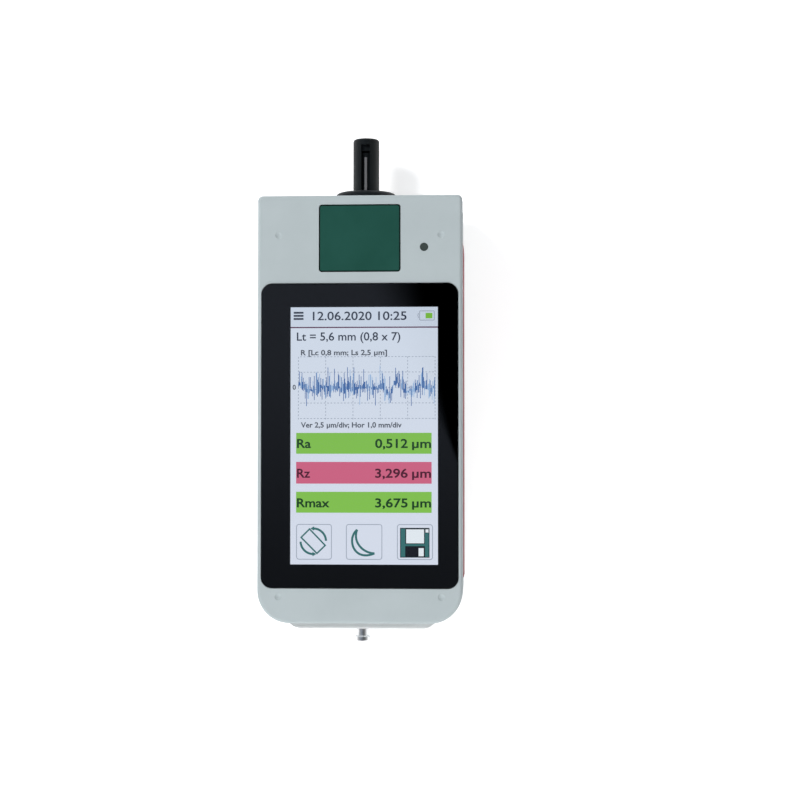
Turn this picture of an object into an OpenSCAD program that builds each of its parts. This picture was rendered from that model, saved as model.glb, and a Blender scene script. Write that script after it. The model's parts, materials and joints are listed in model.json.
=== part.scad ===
// Surface roughness tester: a housing with a touch display and a start key, a motor-driven pick-up
// at its head, and a pull-out tray with a roughness standard at its tail.
// It lies on its rails with the display up: X across, Y towards the pick-up, Z up.
// Lengths along Y are laid out from the middle of the front shell, and the whole part is then moved
// so that the origin lies under the middle of its overall length.

/* [Housing] */
// Length of the front shell, from tail to head
housing_l = 157.5; // [154:0.5:170]
// Width of the front shell
housing_w = 75.5; // [74:0.5:82]
// Depth of the front shell, from its face to the parting line
front_depth = 10.7; // [10.4:0.1:14]
// Wall thickness of both shells
shell_wall = 2; // [1.8:0.1:2.2]
// Thickness of the front shell's face
face_t = 2.4; // [2.2:0.1:2.8]
// Corner radius of the front shell at the head
head_corner_r = 1.8; // [1.5:0.1:2.6]
// Corner radius of the front shell at the tail
tail_corner_r = 12; // [10:0.5:13]
// Radius of the soft edge round the front face
face_edge_r = 1.2; // [0.8:0.1:1.3]
// Step from the front shell in to the base shell
shell_step = 0.5; // [0.3:0.1:0.7]
// Radius of the base shell's lower edges
base_edge_r = 4; // [3:0.5:5]

/* [Glide rails] */
// Height of the two rails that the tester stands on
rail_h = 3; // [2.4:0.1:4]
// Width of a rail
rail_w = 9; // [7:0.5:10]
// Distance from the head to a rail
rail_from_head = 13.5; // [10:0.5:20]
// Distance from the tail to a rail
rail_from_tail = 15.5; // [12:0.5:22]
// Distance from the side to the middle of a rail
rail_from_side = 15.5; // [15:0.5:17]
// Bevel along the lower edges of a rail
rail_bevel = 1; // [0.5:0.1:1.5]

/* [Display] */
// Width of the shell's rim beside the glass
side_rim = 1.5; // [1.4:0.1:2.5]
// Distance from the head to the glass
glass_from_head = 32.6; // [31:0.1:36]
// Distance from the tail to the glass
glass_from_tail = 12.9; // [12:0.1:15]
// Thickness of the glass
glass_t = 1.5; // [1.2:0.1:1.6]
// How far the glass stands above the shell's face
glass_proud = 0.3; // [0.1:0.05:0.5]
// Corner radius of the glass
glass_corner_r = 4; // [3:0.1:6]
// Distance from the side of the glass to the display panel
panel_side = 2.4; // [2:0.1:4]
// Distance from an end of the glass to the display panel
panel_end = 3.25; // [2.5:0.05:5]
// Border of the panel beside the picture
view_side = 6.65; // [5:0.05:8]
// Border of the panel at an end of the picture
view_end = 5.25; // [4:0.05:7]
// Shift of the picture from the middle of the glass
view_shift = 1.5; // [0:0.1:2]
// Thickness of the display panel
panel_t = 3; // [2.6:0.1:3.4]

/* [Start key] */
// Width of the key
key_w = 29.6; // [26:0.1:32]
// Length of the key
key_l = 24.4; // [20:0.1:25]
// Distance from the head to the middle of the key
key_from_head = 15.9; // [15:0.1:17]
// Corner radius of the key
key_corner_r = 0.8; // [0.8:0.1:3]
// How far the key goes down
key_travel = 0.8; // [0.4:0.1:1]
// Gap round the key
key_gap = 0.3; // [0.15:0.05:0.4]
// How far the key lies below the shell's face
key_sunk = 0.15; // [0:0.05:0.4]
// Diameter of the switch plunger under the key
plunger_d = 4; // [3:0.1:6]

/* [Status light] */
// Diameter of the status light's lens
lens_d = 3; // [2:0.1:4]
// Distance from the side to the lens
lens_from_side = 14; // [12.5:0.1:15.5]
// Distance from the head to the lens
lens_from_head = 19.3; // [17:0.1:20]

/* [Housing screws] */
// Distance from the side to a housing screw
screw_from_side = 7.8; // [7.4:0.1:8.2]
// Distance from the head to the head screws
screw_from_head = 14.8; // [12:0.1:16]
// Distance from the tail to the tail screws
screw_from_tail = 9.7; // [9.2:0.1:10.5]
// Diameter of a housing screw's shank
screw_d = 2.4; // [2:0.1:2.6]
// Length of a housing screw's shank
screw_l = 12; // [9:0.5:13]
// Diameter of a housing screw's head
screw_head_d = 4.6; // [4:0.1:4.8]
// Diameter of the dimples over the screw posts
dimple_d = 2.6; // [1.4:0.1:3]

/* [Side bands] */
// Height of a side band
band_h = 20; // [16:0.5:21]
// Distance from the head to a band
band_from_head = 13.3; // [10:0.1:16]
// Distance from the tail to a band
band_from_tail = 15.5; // [14:0.1:18]
// How far a band stands out from the base shell
band_proud = 0.6; // [0.6:0.1:1.2]
// How deep a band sits in the base shell
band_depth = 1; // [0.6:0.1:1.2]
// Corner radius of a band, seen from the side
band_corner_r = 3; // [1:0.5:6]

/* [Drive unit] */
// Outer diameter of the drive sleeve
drive_d = 22; // [21:0.1:23]
// Wall thickness of the drive sleeve
drive_wall = 1.4; // [1:0.1:1.6]
// Diameter of the nose that closes the drive unit
nose_d = 23.4; // [23.2:0.1:25]
// Length of the nose outside the housing
nose_l = 5; // [4:0.1:6]
// Longest stroke of the pick-up
traverse = 17.5; // [12:0.5:18]
// Diameter of the lead screw
lead_screw_d = 4; // [3:0.1:4.2]
// Diameter of a guide rod
rod_d = 2.5; // [2:0.1:3]
// Distance between the guide rods
rod_spacing = 13; // [12:0.1:13.4]
// Length of the carriage
carriage_l = 14; // [12:0.5:16]
// Length of the gear motor
motor_l = 29; // [26:0.5:30]

/* [Pick-up] */
// Outer diameter of the pick-up guard
guard_d = 10; // [9:0.1:10.4]
// Bore of the pick-up guard
guard_bore = 7.5; // [7.2:0.1:7.8]
// Length of the guard in front of the nose
guard_l = 21; // [20:0.1:24]
// Solid end of the guard
guard_end = 4.8; // [4:0.1:5]
// Width of the guard's upper slot
slot_w = 3.4; // [2.6:0.1:3.8]
// Solid left between the upper slot and the guard's tip
slot_from_tip = 2.5; // [2:0.1:3.5]
// Diameter of the pick-up body
pickup_d = 6.4; // [6:0.1:6.6]
// Width of the metal spine along the pick-up
spine_w = 0.95; // [0.8:0.05:1.4]
// Width of the skid
skid_w = 2.8; // [2.4:0.1:3]
// Length of the skid
skid_l = 3.4; // [3:0.1:4]
// Distance from the pick-up's axis down to the sole of the skid
skid_drop = 5.3; // [5.1:0.05:5.6]
// Distance from the stylus pivot to the stylus tip
lever_l = 15; // [13:0.5:16]

/* [Standard tray] */
// Distance from the side to the tray
tray_from_side = 13.5; // [13.5:0.1:15.5]
// Length of the tray behind its front
tray_l = 62; // [56:0.5:64]
// Height of the tray
tray_h = 7.6; // [7:0.1:8.2]
// Thickness of the tray's front
tray_front_t = 3.4; // [3:0.1:4.5]
// How far the tray's front reaches past the tray at each side
tray_front_side = 3.8; // [3:0.1:4.5]
// How far the tray's front reaches past the tray above and below
tray_lip = 1.2; // [0.8:0.1:1.4]
// Radius of the tray front's ends
tray_end_r = 6.6; // [5:0.1:8]
// Width of the roughness standard
standard_w = 20; // [18:0.5:26]
// Length of the roughness standard
standard_l = 40; // [36:0.5:44]
// Thickness of the roughness standard
standard_t = 5; // [4:0.1:5.4]
// Diameter of the knob's head
knob_d = 5.7; // [5:0.1:6.5]
// Diameter of the knob's neck
knob_neck_d = 4.4; // [4:0.1:4.8]
// Length of the knob
knob_l = 5; // [4:0.1:7]

/* [Battery] */
// Room between the battery cell and the side wall
cell_side_gap = 2.1; // [2:0.1:4.5]
// Room between the battery cell and the interface board
cell_end_gap = 5.2; // [4.5:0.1:10]

/* [Sockets] */
// Width of the USB socket
usb_w = 9; // [8:0.1:10]
// Height of the USB socket
usb_h = 3.6; // [3.2:0.1:4]
// Width of the card socket
card_w = 13.4; // [12:0.1:13.6]
// Height of the card socket
card_h = 2.6; // [2.2:0.1:3.4]
// Width of the data socket
data_w = 10; // [8:0.1:10.2]
// Height of the data socket
data_h = 4.4; // [4:0.1:5]
// Distance from one socket's middle to the next
socket_pitch = 15; // [13:0.5:15.5]

/* [Stand holes] */
// Distance between the two threaded inserts for a stand
insert_spacing = 20; // [16:0.5:24]
// Distance from the tail to the inserts
insert_from_tail = 26; // [22:0.5:30]
// Outer diameter of an insert
insert_d = 5.2; // [5:0.1:6]
// Bore of an insert
insert_bore = 3.3; // [2.5:0.1:4]
// Length of an insert
insert_l = 7; // [6:0.5:9]

/* [Hidden] */
$fn = 64;

// Clearances: between pieces that are fixed together, that slide, and that turn on each other
fixed_gap = 0.1;
slide_gap = 0.3;
run_gap = 0.05;
// How far a cut runs past the face that it opens
cut = 1;

// Colours
shell_colour = "#b6c0c3";
band_colour = "#8b4a55";
black_colour = "#1d2225";
key_colour = "#255047";
steel_colour = "#9aa0a4";
brass_colour = "#b5964c";
board_colour = "#2c5a3c";
rubber_colour = "#303030";
panel_colour = "#d8dfe8";
switch_colour = "#3a3d40";
lens_colour = "#47514d";
sleeve_colour = "#6c7478";
motor_colour = "#8a8f92";
carriage_colour = "#4a5054";
spine_colour = "#b8bcc0";
skid_colour = "#7d2530";
diamond_colour = "#c9d4da";
guide_colour = "#8d969a";
tray_colour = "#c3c6c7";
knob_colour = "#c9ccce";
cell_colour = "#3f6f86";

// Ends of the shells
head_y = housing_l / 2;
tail_y = -housing_l / 2;
base_w = housing_w - 2 * shell_step;
base_l = housing_l - 2 * shell_step;
base_head_r = head_corner_r - shell_step;
base_tail_r = tail_corner_r - shell_step;
base_head_y = base_l / 2;
base_tail_y = -base_l / 2;
// Smallest corner that a hollow keeps
least_r = 0.5;

// Levels from the rails up to the tray
under_z = rail_h;
floor_z = under_z + shell_wall;
drive_lift = 0.2;
drive_z = floor_z + drive_lift + drive_d / 2;
shelf_t = 1.6;
shelf_gap = 0.6;
shelf_z = drive_z + drive_d / 2 + shelf_gap;
tray_z = shelf_z + shelf_t;
tray_top_z = tray_z + tray_h;
tray_bridge = 1.7;
parting_z = tray_top_z + slide_gap + tray_bridge;

// Levels from the face down to the main board
face_z = parting_z + front_depth;
plate_z = face_z - face_t;
glass_z = face_z + glass_proud - glass_t;
gasket_t = 0.5;
panel_top_z = plate_z - gasket_t;
board_t = 1.6;
board_gap = 1.6;
board_top_z = panel_top_z - panel_t - board_gap;
board_z = board_top_z - board_t;

// Glass and display
glass_w = housing_w - 2 * side_rim;
glass_l = housing_l - glass_from_head - glass_from_tail;
glass_y = tail_y + glass_from_tail + glass_l / 2;
glass_gap = 0.15;
glass_edge_r = 0.3;
panel_w = glass_w - 2 * panel_side;
panel_l = glass_l - 2 * panel_end;
view_w = panel_w - 2 * view_side;
view_l = panel_l - 2 * view_end;
window_margin = 1.5;
panel_corner_r = 1;

// Start key
key_y = head_y - key_from_head;
key_edge_r = 0.5;
key_flange = 1.2;
key_top_z = face_z - key_sunk;
key_stem = 0.9;
stem_wall = 1;
plunger_top_z = plate_z - key_flange - key_stem;
switch_size = 12;
switch_top_z = plunger_top_z - key_travel - slide_gap;

// Status light
lens_x = housing_w / 2 - lens_from_side;
lens_y = head_y - lens_from_head;
lens_flange = 0.7;
lens_gap = 0.05;
led_size = [3, 2, 0.8];

// Screws
screw_x = housing_w / 2 - screw_from_side;
head_screw_y = head_y - screw_from_head;
tail_screw_y = tail_y + screw_from_tail;
screw_places = [for (x = [-screw_x, screw_x], y = [head_screw_y, tail_screw_y]) [x, y]];
post_d = 6.4;
boss_d = 7;
screw_seat_depth = 5;
screw_seat_z = parting_z - screw_seat_depth;
screw_head_h = 1.8;
recess_w = 0.6;
recess_l = 2.6;
recess_depth = 1;
dimple_depth = 0.45;
dimple_r = (pow(dimple_d / 2, 2) + pow(dimple_depth, 2)) / (2 * dimple_depth);
board_post_d = 5;
board_screw_d = 1.6;
board_screw_l = 3.4;
board_head_d = 3.2;
board_head_h = 1.2;
board_post_inset = 8;
board_tail_inset = 17;
board_post_x = base_w / 2 - board_post_inset;
board_tail_x = base_w / 2 - board_tail_inset;
board_post_gap = 5;
board_tail_gap = 4.2;
board_post_y = glass_y + panel_l / 2 + board_post_gap;
board_tail_y = glass_y - panel_l / 2 - board_tail_gap;
board_places = [for (side = [-1, 1], p = [[board_post_x, board_post_y], [board_tail_x, board_tail_y]])
    [side * p.x, p.y]];

// Main board outline: a wide middle with a tongue at each end
board_side_gap = 0.9;
board_end_gap = 1;
board_w = base_w - 2 * shell_wall - 2 * board_side_gap;
tongue_w = 2 * (screw_x - boss_d / 2 - slide_gap);
board_head_y = head_screw_y - boss_d / 2 - board_end_gap;
board_shoulder_y = tail_screw_y + boss_d / 2 + board_end_gap;
board_tongue_head_y = base_head_y - shell_wall - board_end_gap;
board_tongue_tail_y = board_tail_y - board_post_d / 2;
// Chips under the board: place from the middle of the glass, and size
processor_at = [-5, 23];
processor = [14, 14, 1.1];
memory_at = [13.5, 22];
memory = [11, 8, 1];
charger_at = [-11.5, -21.5];
charger = [9, 9, 0.9];

// Side bands
band_l = housing_l - band_from_head - band_from_tail;
band_y = (tail_y + band_from_tail + head_y - band_from_head) / 2;
band_lift = 3;
band_z = (under_z + parting_z) / 2 + band_lift;
band_x = base_w / 2 - band_depth;
band_run = 6.5;
band_edge_r = 0.8;

// Sockets on the left side, in the band
socket_z = band_z;
socket_from_tail = 40;
socket_y = base_tail_y + socket_from_tail;
socket_sizes = [[usb_w, usb_h], [card_w, card_h], [data_w, data_h]];
socket_wall = 0.5;
socket_proud = 0.2;
socket_mouth_x = -base_w / 2 - socket_proud;
usb_tongue = 0.8;
data_tongue = 1.2;
tongue_inset = 1;
interface_inset = 5.4;
interface_x = -base_w / 2 + shell_wall + interface_inset;
interface_margin = 9;
interface_l = 2 * (socket_pitch + interface_margin);
interface_h = 20;
interface_z = socket_z - interface_h / 2;
holder_w = 4;
holder_wall = 1.6;
holder_h = 5;

// Drive unit, from the nose back
nose_gap = 0.2;
nose_back_y = head_y + nose_gap;
nose_front_y = nose_back_y + nose_l;
nose_edge_r = 1.6;
nose_dome = 0.5;
sleeve_bore = drive_d - 2 * drive_wall;
spigot_l = 8;
spigot_y = nose_back_y - spigot_l;
pickup_inset = 1.3;
pickup_back_y = spigot_y + pickup_inset;
socket_l = 18;
carriage_front_y = pickup_back_y - socket_l;
carriage_back_y = carriage_front_y - carriage_l;
bulkhead_t = 4;
end_room = 2.5;
bulkhead_y = carriage_back_y - traverse - end_room - bulkhead_t;
screw_short = 7;
screw_room = 1;
screw_tip_y = carriage_front_y - screw_short;
coupling_l = 9;
coupling_d = 7;
coupling_room = 1.5;
coupling_y = bulkhead_y - coupling_room - coupling_l;
motor_front_y = coupling_y - coupling_room;
motor_back_y = motor_front_y - motor_l;
motor_shaft_d = 2.5;
shaft_grip = 4;
cap_spigot_l = 2.3;
cap_flange_t = 2;
drive_back_y = motor_back_y - cap_spigot_l;
bush_wall = 1.5;
bush_d = lead_screw_d + 2 * bush_wall;
rod_grip = 3.5;
saddle_t = 4;
saddle_from_head = 20;
saddle_from_back = 14;
saddle_ys = [head_y - saddle_from_head, drive_back_y + saddle_from_back];
saddle_side = 2.5;
// A saddle ends this share of its round body's diameter below the axis
saddle_share = 1 / 6;

// Pick-up
guard_seat = 3.2;
guard_back_y = nose_front_y - guard_seat;
guard_tip_y = nose_front_y + guard_l;
guard_edge_r = 1;
guard_bore_end_y = guard_tip_y - guard_end;
slot_end_y = guard_tip_y - slot_from_tip;
slot_depth = 1.6;
tip_room = 0.8;
pickup_tip_y = guard_bore_end_y - tip_room;
spine_short = 1.7;
spine_tip_y = pickup_tip_y - spine_short;
spine_h = 1.2;
spine_proud = 0.2;
plug_d = 4;
plug_l = 5;
skid_from_tip = 4.2;
skid_y = pickup_tip_y - skid_from_tip;
skid_top = 2.75;
skid_sole_r = 6;
skid_side = 0.4;
skid_front = 0.6;
skid_slot_w = skid_w + 2 * skid_side;
skid_slot_end_y = skid_y + skid_l / 2 + skid_front;
stylus_hole_d = 1.4;
pivot_y = skid_y - lever_l;
lever_d = 0.7;
lever_drop = 2.2;
lever_hub_d = 1.7;
lever_hub_w = 1;
lever_eye_d = 1.1;
lever_channel_w = 1.8;
lever_channel_top = 1;
lever_channel_back = 2;
pivot_d = 0.8;
pivot_l = 3.2;
stylus_d = 0.6;
stylus_point = 0.75;
stylus_end_d = 0.04;
stylus_past = 0.06;

// Tray and its guide
tray_w = housing_w - 2 * tray_from_side;
tray_front_w = tray_w + 2 * tray_front_side;
tray_front_y = base_tail_y - tray_front_t;
tray_edge_r = 1;
tray_back_y = base_tail_y + tray_l;
guide_wall = 1.6;
guide_w = tray_w + 2 * slide_gap + 2 * guide_wall;
guide_y = base_tail_y + shell_wall;
tray_room = 1;
guide_back_y = tray_back_y + tray_room + guide_wall;
guide_short = 0.8;
guide_wall_h = tray_h - guide_short;
leg_l = 6;
leg_from_tail = 14;
leg_pitch = 30;
leg_ys = [guide_y + leg_from_tail, guide_y + leg_from_tail + leg_pitch];
standard_y = base_tail_y + tray_l / 2;
finger_d = 14;
knob_z = tray_z + tray_h / 2;
knob_head_l = 2.3;
knob_edge_r = 0.7;
stud_d = 2.5;
knob_end_y = tray_front_y - knob_l;

// Battery, in the room between the drive unit, the side wall and the interface board
cell_room = 1;
cell_side_x = base_w / 2 - shell_wall - cell_side_gap;
cell_d = cell_side_x - drive_d / 2 - saddle_side - cell_room;
cell_x = cell_d / 2 - cell_side_x;
cell_z = floor_z + drive_lift + cell_d / 2;
cell_from_boss = 4.5;
cell_front_y = head_screw_y - boss_d / 2 - cell_from_boss;
cell_back_y = socket_y + interface_l / 2 + cell_end_gap;
cell_tip_d = 6;
cell_tip_h = 1;
seat_t = 4;
seat_inset = 12;
seat_ys = [cell_back_y + seat_inset, cell_front_y - seat_inset];

// Rails and inserts
rail_l = housing_l - rail_from_head - rail_from_tail;
rail_y = (rail_from_tail - rail_from_head) / 2;
rail_spacing = housing_w - 2 * rail_from_side;
rail_peg_d = 3;
rail_peg_h = 1.6;
rail_peg_share = 0.36;
rail_peg_y = rail_peg_share * rail_l;
insert_y = tail_y + insert_from_tail;
insert_boss_wall = 1.7;
insert_boss_d = insert_d + 2 * insert_boss_wall;

// The origin lies under the middle of the overall length
origin_y = (guard_tip_y + knob_end_y) / 2;
module placed() translate([0, -origin_y, 0]) children();

module both_sides() {
    children();
    mirror([1, 0, 0]) children();
}

// Extrusion along Y of a shape drawn in X and Z
module along_y(y0, y1) translate([0, y1, 0]) rotate([90, 0, 0]) linear_extrude(y1 - y0) children();

// Extrusion along X of a shape drawn in Y and Z
module along_x(x0, x1) translate([x0, 0, 0]) rotate([90, 0, 90]) linear_extrude(x1 - x0) children();

// Revolved shape about Y, drawn as radius and Y
module turned_y() rotate([-90, 0, 0]) rotate_extrude() children();

// Round bar along Y
module bar_y(d, y0, y1) translate([0, y0, 0]) rotate([-90, 0, 0]) cylinder(d = d, h = y1 - y0);

// Round bar along X, centred
module bar_x(d, l) rotate([0, 90, 0]) cylinder(d = d, h = l, center = true);

// Box given by its middle in X and its limits in Y and Z
module slab(w, y0, y1, z0, z1) translate([-w / 2, y0, z0]) cube([w, y1 - y0, z1 - z0]);

module on_drive_axis() translate([0, 0, drive_z]) children();

module quarter_disc(r) intersection() {
    circle(r = r);
    square(r);
}

// Outline with one corner radius at the head and another at the tail
module corner_outline(w, l, head_r, tail_r) {
    translate([-w / 2, -l / 2 + tail_r]) square([w, l - tail_r - head_r]);
    translate([-w / 2 + head_r, l / 2 - head_r]) square([w - 2 * head_r, head_r]);
    translate([-w / 2 + tail_r, -l / 2]) square([w - 2 * tail_r, tail_r]);
    for (side = [-1, 1]) {
        translate([side * (w / 2 - head_r), l / 2 - head_r]) circle(r = head_r);
        translate([side * (w / 2 - tail_r), -l / 2 + tail_r]) circle(r = tail_r);
    }
}

module round_rect(w, l, r) corner_outline(w, l, r, r);

// Block with a rounded upper edge that follows its outline
module soft_block(w, l, head_r, tail_r, z0, z1, edge_r) {
    translate([0, 0, z0]) linear_extrude(z1 - edge_r - z0) corner_outline(w, l, head_r, tail_r);
    translate([0, 0, z0]) linear_extrude(z1 - z0)
        corner_outline(w - 2 * edge_r, l - 2 * edge_r, head_r - edge_r, tail_r - edge_r);
    translate([0, 0, z1 - edge_r]) {
        both_sides() {
            along_y(-l / 2 + tail_r, l / 2 - head_r) translate([w / 2 - edge_r, 0]) quarter_disc(edge_r);
            translate([w / 2 - head_r, l / 2 - head_r]) rotate_extrude(angle = 90)
                translate([head_r - edge_r, 0]) quarter_disc(edge_r);
            translate([w / 2 - tail_r, -l / 2 + tail_r]) rotate(-90) rotate_extrude(angle = 90)
                translate([tail_r - edge_r, 0]) quarter_disc(edge_r);
        }
        along_x(-w / 2 + head_r, w / 2 - head_r) translate([l / 2 - edge_r, 0]) quarter_disc(edge_r);
        along_x(-w / 2 + tail_r, w / 2 - tail_r) mirror([1, 0])
            translate([l / 2 - edge_r, 0]) quarter_disc(edge_r);
    }
}

// Upright section with rounded lower corners
module lower_round(w, z0, z1, r) {
    translate([-w / 2, z0 + r]) square([w, z1 - z0 - r]);
    translate([-w / 2 + r, z0]) square([w - 2 * r, r]);
    for (side = [-1, 1]) translate([side * (w / 2 - r), z0 + r]) circle(r = r);
}

// Base shell's body, or its hollow when inset by the wall
module base_block(inset, z1) {
    w = base_w - 2 * inset;
    l = base_l - 2 * inset;
    z0 = under_z + inset;
    edge_r = base_edge_r - inset;
    intersection() {
        translate([0, 0, z0]) linear_extrude(z1 - z0)
            corner_outline(w, l, max(base_head_r - inset, least_r), base_tail_r - inset);
        along_y(-l / 2, l / 2) lower_round(w, z0, z1, edge_r);
        along_x(-w / 2, w / 2) lower_round(l, z0, z1, edge_r);
    }
}

module screw_grid() for (p = screw_places) translate([p.x, p.y, 0]) children();

module board_grid() for (p = board_places) translate([p.x, p.y, 0]) children();

module front_shell() color(shell_colour) difference() {
    union() {
        difference() {
            soft_block(housing_w, housing_l, head_corner_r, tail_corner_r, parting_z, face_z, face_edge_r);
            translate([0, 0, parting_z - cut]) linear_extrude(plate_z - parting_z + cut)
                corner_outline(housing_w - 2 * shell_wall, housing_l - 2 * shell_wall,
                    max(head_corner_r - shell_wall, least_r), tail_corner_r - shell_wall);
        }
        screw_grid() translate([0, 0, parting_z]) cylinder(d = post_d, h = plate_z - parting_z);
        board_grid() translate([0, 0, board_top_z]) cylinder(d = board_post_d, h = plate_z - board_top_z);
    }
    translate([0, glass_y, glass_z]) linear_extrude(glass_t + cut)
        round_rect(glass_w + 2 * glass_gap, glass_l + 2 * glass_gap, glass_corner_r + glass_gap);
    translate([0, glass_y, plate_z - cut]) linear_extrude(face_t + cut) window_shape();
    translate([0, key_y, plate_z - cut]) linear_extrude(face_t + 2 * cut)
        round_rect(key_w + 2 * key_gap, key_l + 2 * key_gap, key_corner_r + key_gap);
    translate([lens_x, lens_y, plate_z - cut]) cylinder(d = lens_d + 2 * lens_gap, h = face_t + 2 * cut);
    screw_grid() translate([0, 0, face_z + dimple_r - dimple_depth]) sphere(r = dimple_r);
    screw_grid() translate([0, 0, parting_z - cut])
        cylinder(d = screw_d + 2 * run_gap, h = screw_l - screw_seat_depth + fixed_gap + cut);
    board_grid() translate([0, 0, board_top_z - cut])
        cylinder(d = board_screw_d + 2 * run_gap, h = board_screw_l - board_t + fixed_gap + cut);
}

// Saddle that holds a round body from below
module saddle(x, y, z, d, t) translate([x, 0, 0]) difference() {
    slab(d + 2 * saddle_side, y - t / 2, y + t / 2, floor_z, z - saddle_share * d);
    translate([0, 0, z]) bar_y(d + 2 * fixed_gap, y - t / 2 - cut, y + t / 2 + cut);
}

// Room for a side band, or the band itself
module band_block(gap, out) {
    l = band_l + 2 * gap;
    h = band_h + 2 * gap;
    ramp_r = (pow(band_run, 2) + pow(band_proud, 2)) / (2 * band_proud);
    x0 = band_x - gap;
    outer_x = base_w / 2 + band_proud;
    intersection() {
        translate([0, band_y, band_z - h / 2]) linear_extrude(h) {
            translate([x0, -l / 2]) square([band_depth + gap, l]);
            if (out) {
                translate([x0, -l / 2 + band_edge_r])
                    square([band_depth + band_proud, l - band_run - band_edge_r]);
                translate([outer_x - band_edge_r, -l / 2 + band_edge_r]) circle(r = band_edge_r);
                intersection() {
                    translate([x0, 0]) square([band_depth + band_proud, l / 2]);
                    translate([outer_x - ramp_r, l / 2 - band_run]) circle(r = ramp_r);
                }
            }
        }
        along_y(band_y - l / 2, band_y + l / 2) translate([x0, band_z - h / 2])
            band_section(h, band_depth + gap + band_proud, gap == 0 ? band_edge_r : 0);
        along_x(x0, outer_x) translate([band_y, band_z]) round_rect(l, h, band_corner_r + gap);
    }
}

// Section of a band, with its outer corners rounded
module band_section(h, t, r) {
    square([t - r, h]);
    translate([0, r]) square([t, h - 2 * r]);
    if (r > 0) for (z = [r, h - r]) translate([t - r, z]) circle(r = r);
}

// Places of the sockets along the left side
module socket_cuts(gap) for (i = [0 : 2]) {
    size = socket_sizes[i];
    y = socket_y + (i - 1) * socket_pitch;
    translate([-base_w / 2 - band_proud - cut, y - size.x / 2 - gap, socket_z - size.y / 2 - gap])
        cube([shell_wall + band_proud + 2 * cut, size.x + 2 * gap, size.y + 2 * gap]);
}

module base_shell() color(shell_colour) difference() {
    union() {
        difference() {
            base_block(0, parting_z);
            base_block(shell_wall, parting_z + cut);
        }
        screw_grid() translate([0, 0, floor_z]) cylinder(d = boss_d, h = parting_z - floor_z);
        for (y = saddle_ys) saddle(0, y, drive_z, drive_d, saddle_t);
        for (y = seat_ys) saddle(cell_x, y, cell_z, cell_d, seat_t);
        for (end = [-1, 1]) translate([interface_x - board_t / 2, 0, 0])
            interface_holder(socket_y + end * (interface_l - holder_w) / 2);
        both_sides() translate([insert_spacing / 2, insert_y, floor_z])
            cylinder(d = insert_boss_d, h = insert_l - shell_wall);
    }
    screw_grid() translate([0, 0, under_z - cut])
        cylinder(d = screw_head_d + 2 * slide_gap, h = screw_seat_z - under_z + cut);
    screw_grid() translate([0, 0, screw_seat_z - cut])
        cylinder(d = screw_d + 2 * slide_gap, h = parting_z - screw_seat_z + 2 * cut);
    on_drive_axis() bar_y(drive_d + 2 * fixed_gap, base_head_y - shell_wall - cut, base_head_y + cut);
    slab(tray_w + 2 * slide_gap, base_tail_y - cut, base_tail_y + shell_wall + cut,
        tray_z - slide_gap, tray_top_z + slide_gap);
    both_sides() band_block(fixed_gap, false);
    socket_cuts(slide_gap);
    both_sides() translate([insert_spacing / 2, insert_y, under_z - cut])
        cylinder(d = insert_d + 2 * run_gap, h = insert_l + 2 * cut);
    both_sides() rail_pegs(rail_peg_d + 2 * fixed_gap, shell_wall + cut);
}

// Slotted post that the interface board stands in
module interface_holder(y) difference() {
    slab(board_t + 2 * holder_wall, y - holder_w / 2, y + holder_w / 2, floor_z, interface_z + holder_h);
    slab(board_t + 2 * fixed_gap, y - holder_w / 2 - cut, y + holder_w / 2 + cut,
        interface_z, interface_z + holder_h + cut);
}

module side_band_right() color(band_colour) band_block(0, true);

module side_band_left() color(band_colour) difference() {
    mirror([1, 0, 0]) band_block(0, true);
    socket_cuts(slide_gap);
}

module rail_pegs(d, h) for (end = [-1, 1])
    translate([rail_spacing / 2, rail_y + end * rail_peg_y, under_z]) cylinder(d = d, h = h);

// Rail with round ends and bevelled lower edges
module glide_rail() {
    intersection() {
        translate([rail_spacing / 2, rail_y, 0]) linear_extrude(rail_h)
            round_rect(rail_w, rail_l, rail_w / 2 - fixed_gap);
        along_y(rail_y - rail_l / 2, rail_y + rail_l / 2) translate([rail_spacing / 2, 0])
            polygon([[-rail_w / 2 + rail_bevel, 0], [rail_w / 2 - rail_bevel, 0], [rail_w / 2, rail_bevel],
                [rail_w / 2, rail_h], [-rail_w / 2, rail_h], [-rail_w / 2, rail_bevel]]);
    }
    rail_pegs(rail_peg_d, rail_peg_h);
}

module glide_rail_right() color(black_colour) glide_rail();

module glide_rail_left() color(black_colour) mirror([1, 0, 0]) glide_rail();

module touch_glass() color(black_colour) translate([0, glass_y, 0])
    soft_block(glass_w, glass_l, glass_corner_r, glass_corner_r, glass_z, glass_z + glass_t, glass_edge_r);

module window_shape() translate([view_shift, 0])
    square([view_w + 2 * window_margin, view_l + 2 * window_margin], center = true);

module display_gasket() color(rubber_colour) translate([0, glass_y, panel_top_z]) linear_extrude(gasket_t)
    difference() {
        round_rect(panel_w, panel_l, panel_corner_r);
        window_shape();
    }

module display_panel() color(panel_colour) translate([0, glass_y, panel_top_z - panel_t])
    linear_extrude(panel_t) round_rect(panel_w, panel_l, panel_corner_r);

// Chip that hangs under the main board
module chip(at, size)
    translate([at.x - size.x / 2, glass_y + at.y - size.y / 2, board_z - size.z]) cube(size);

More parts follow.
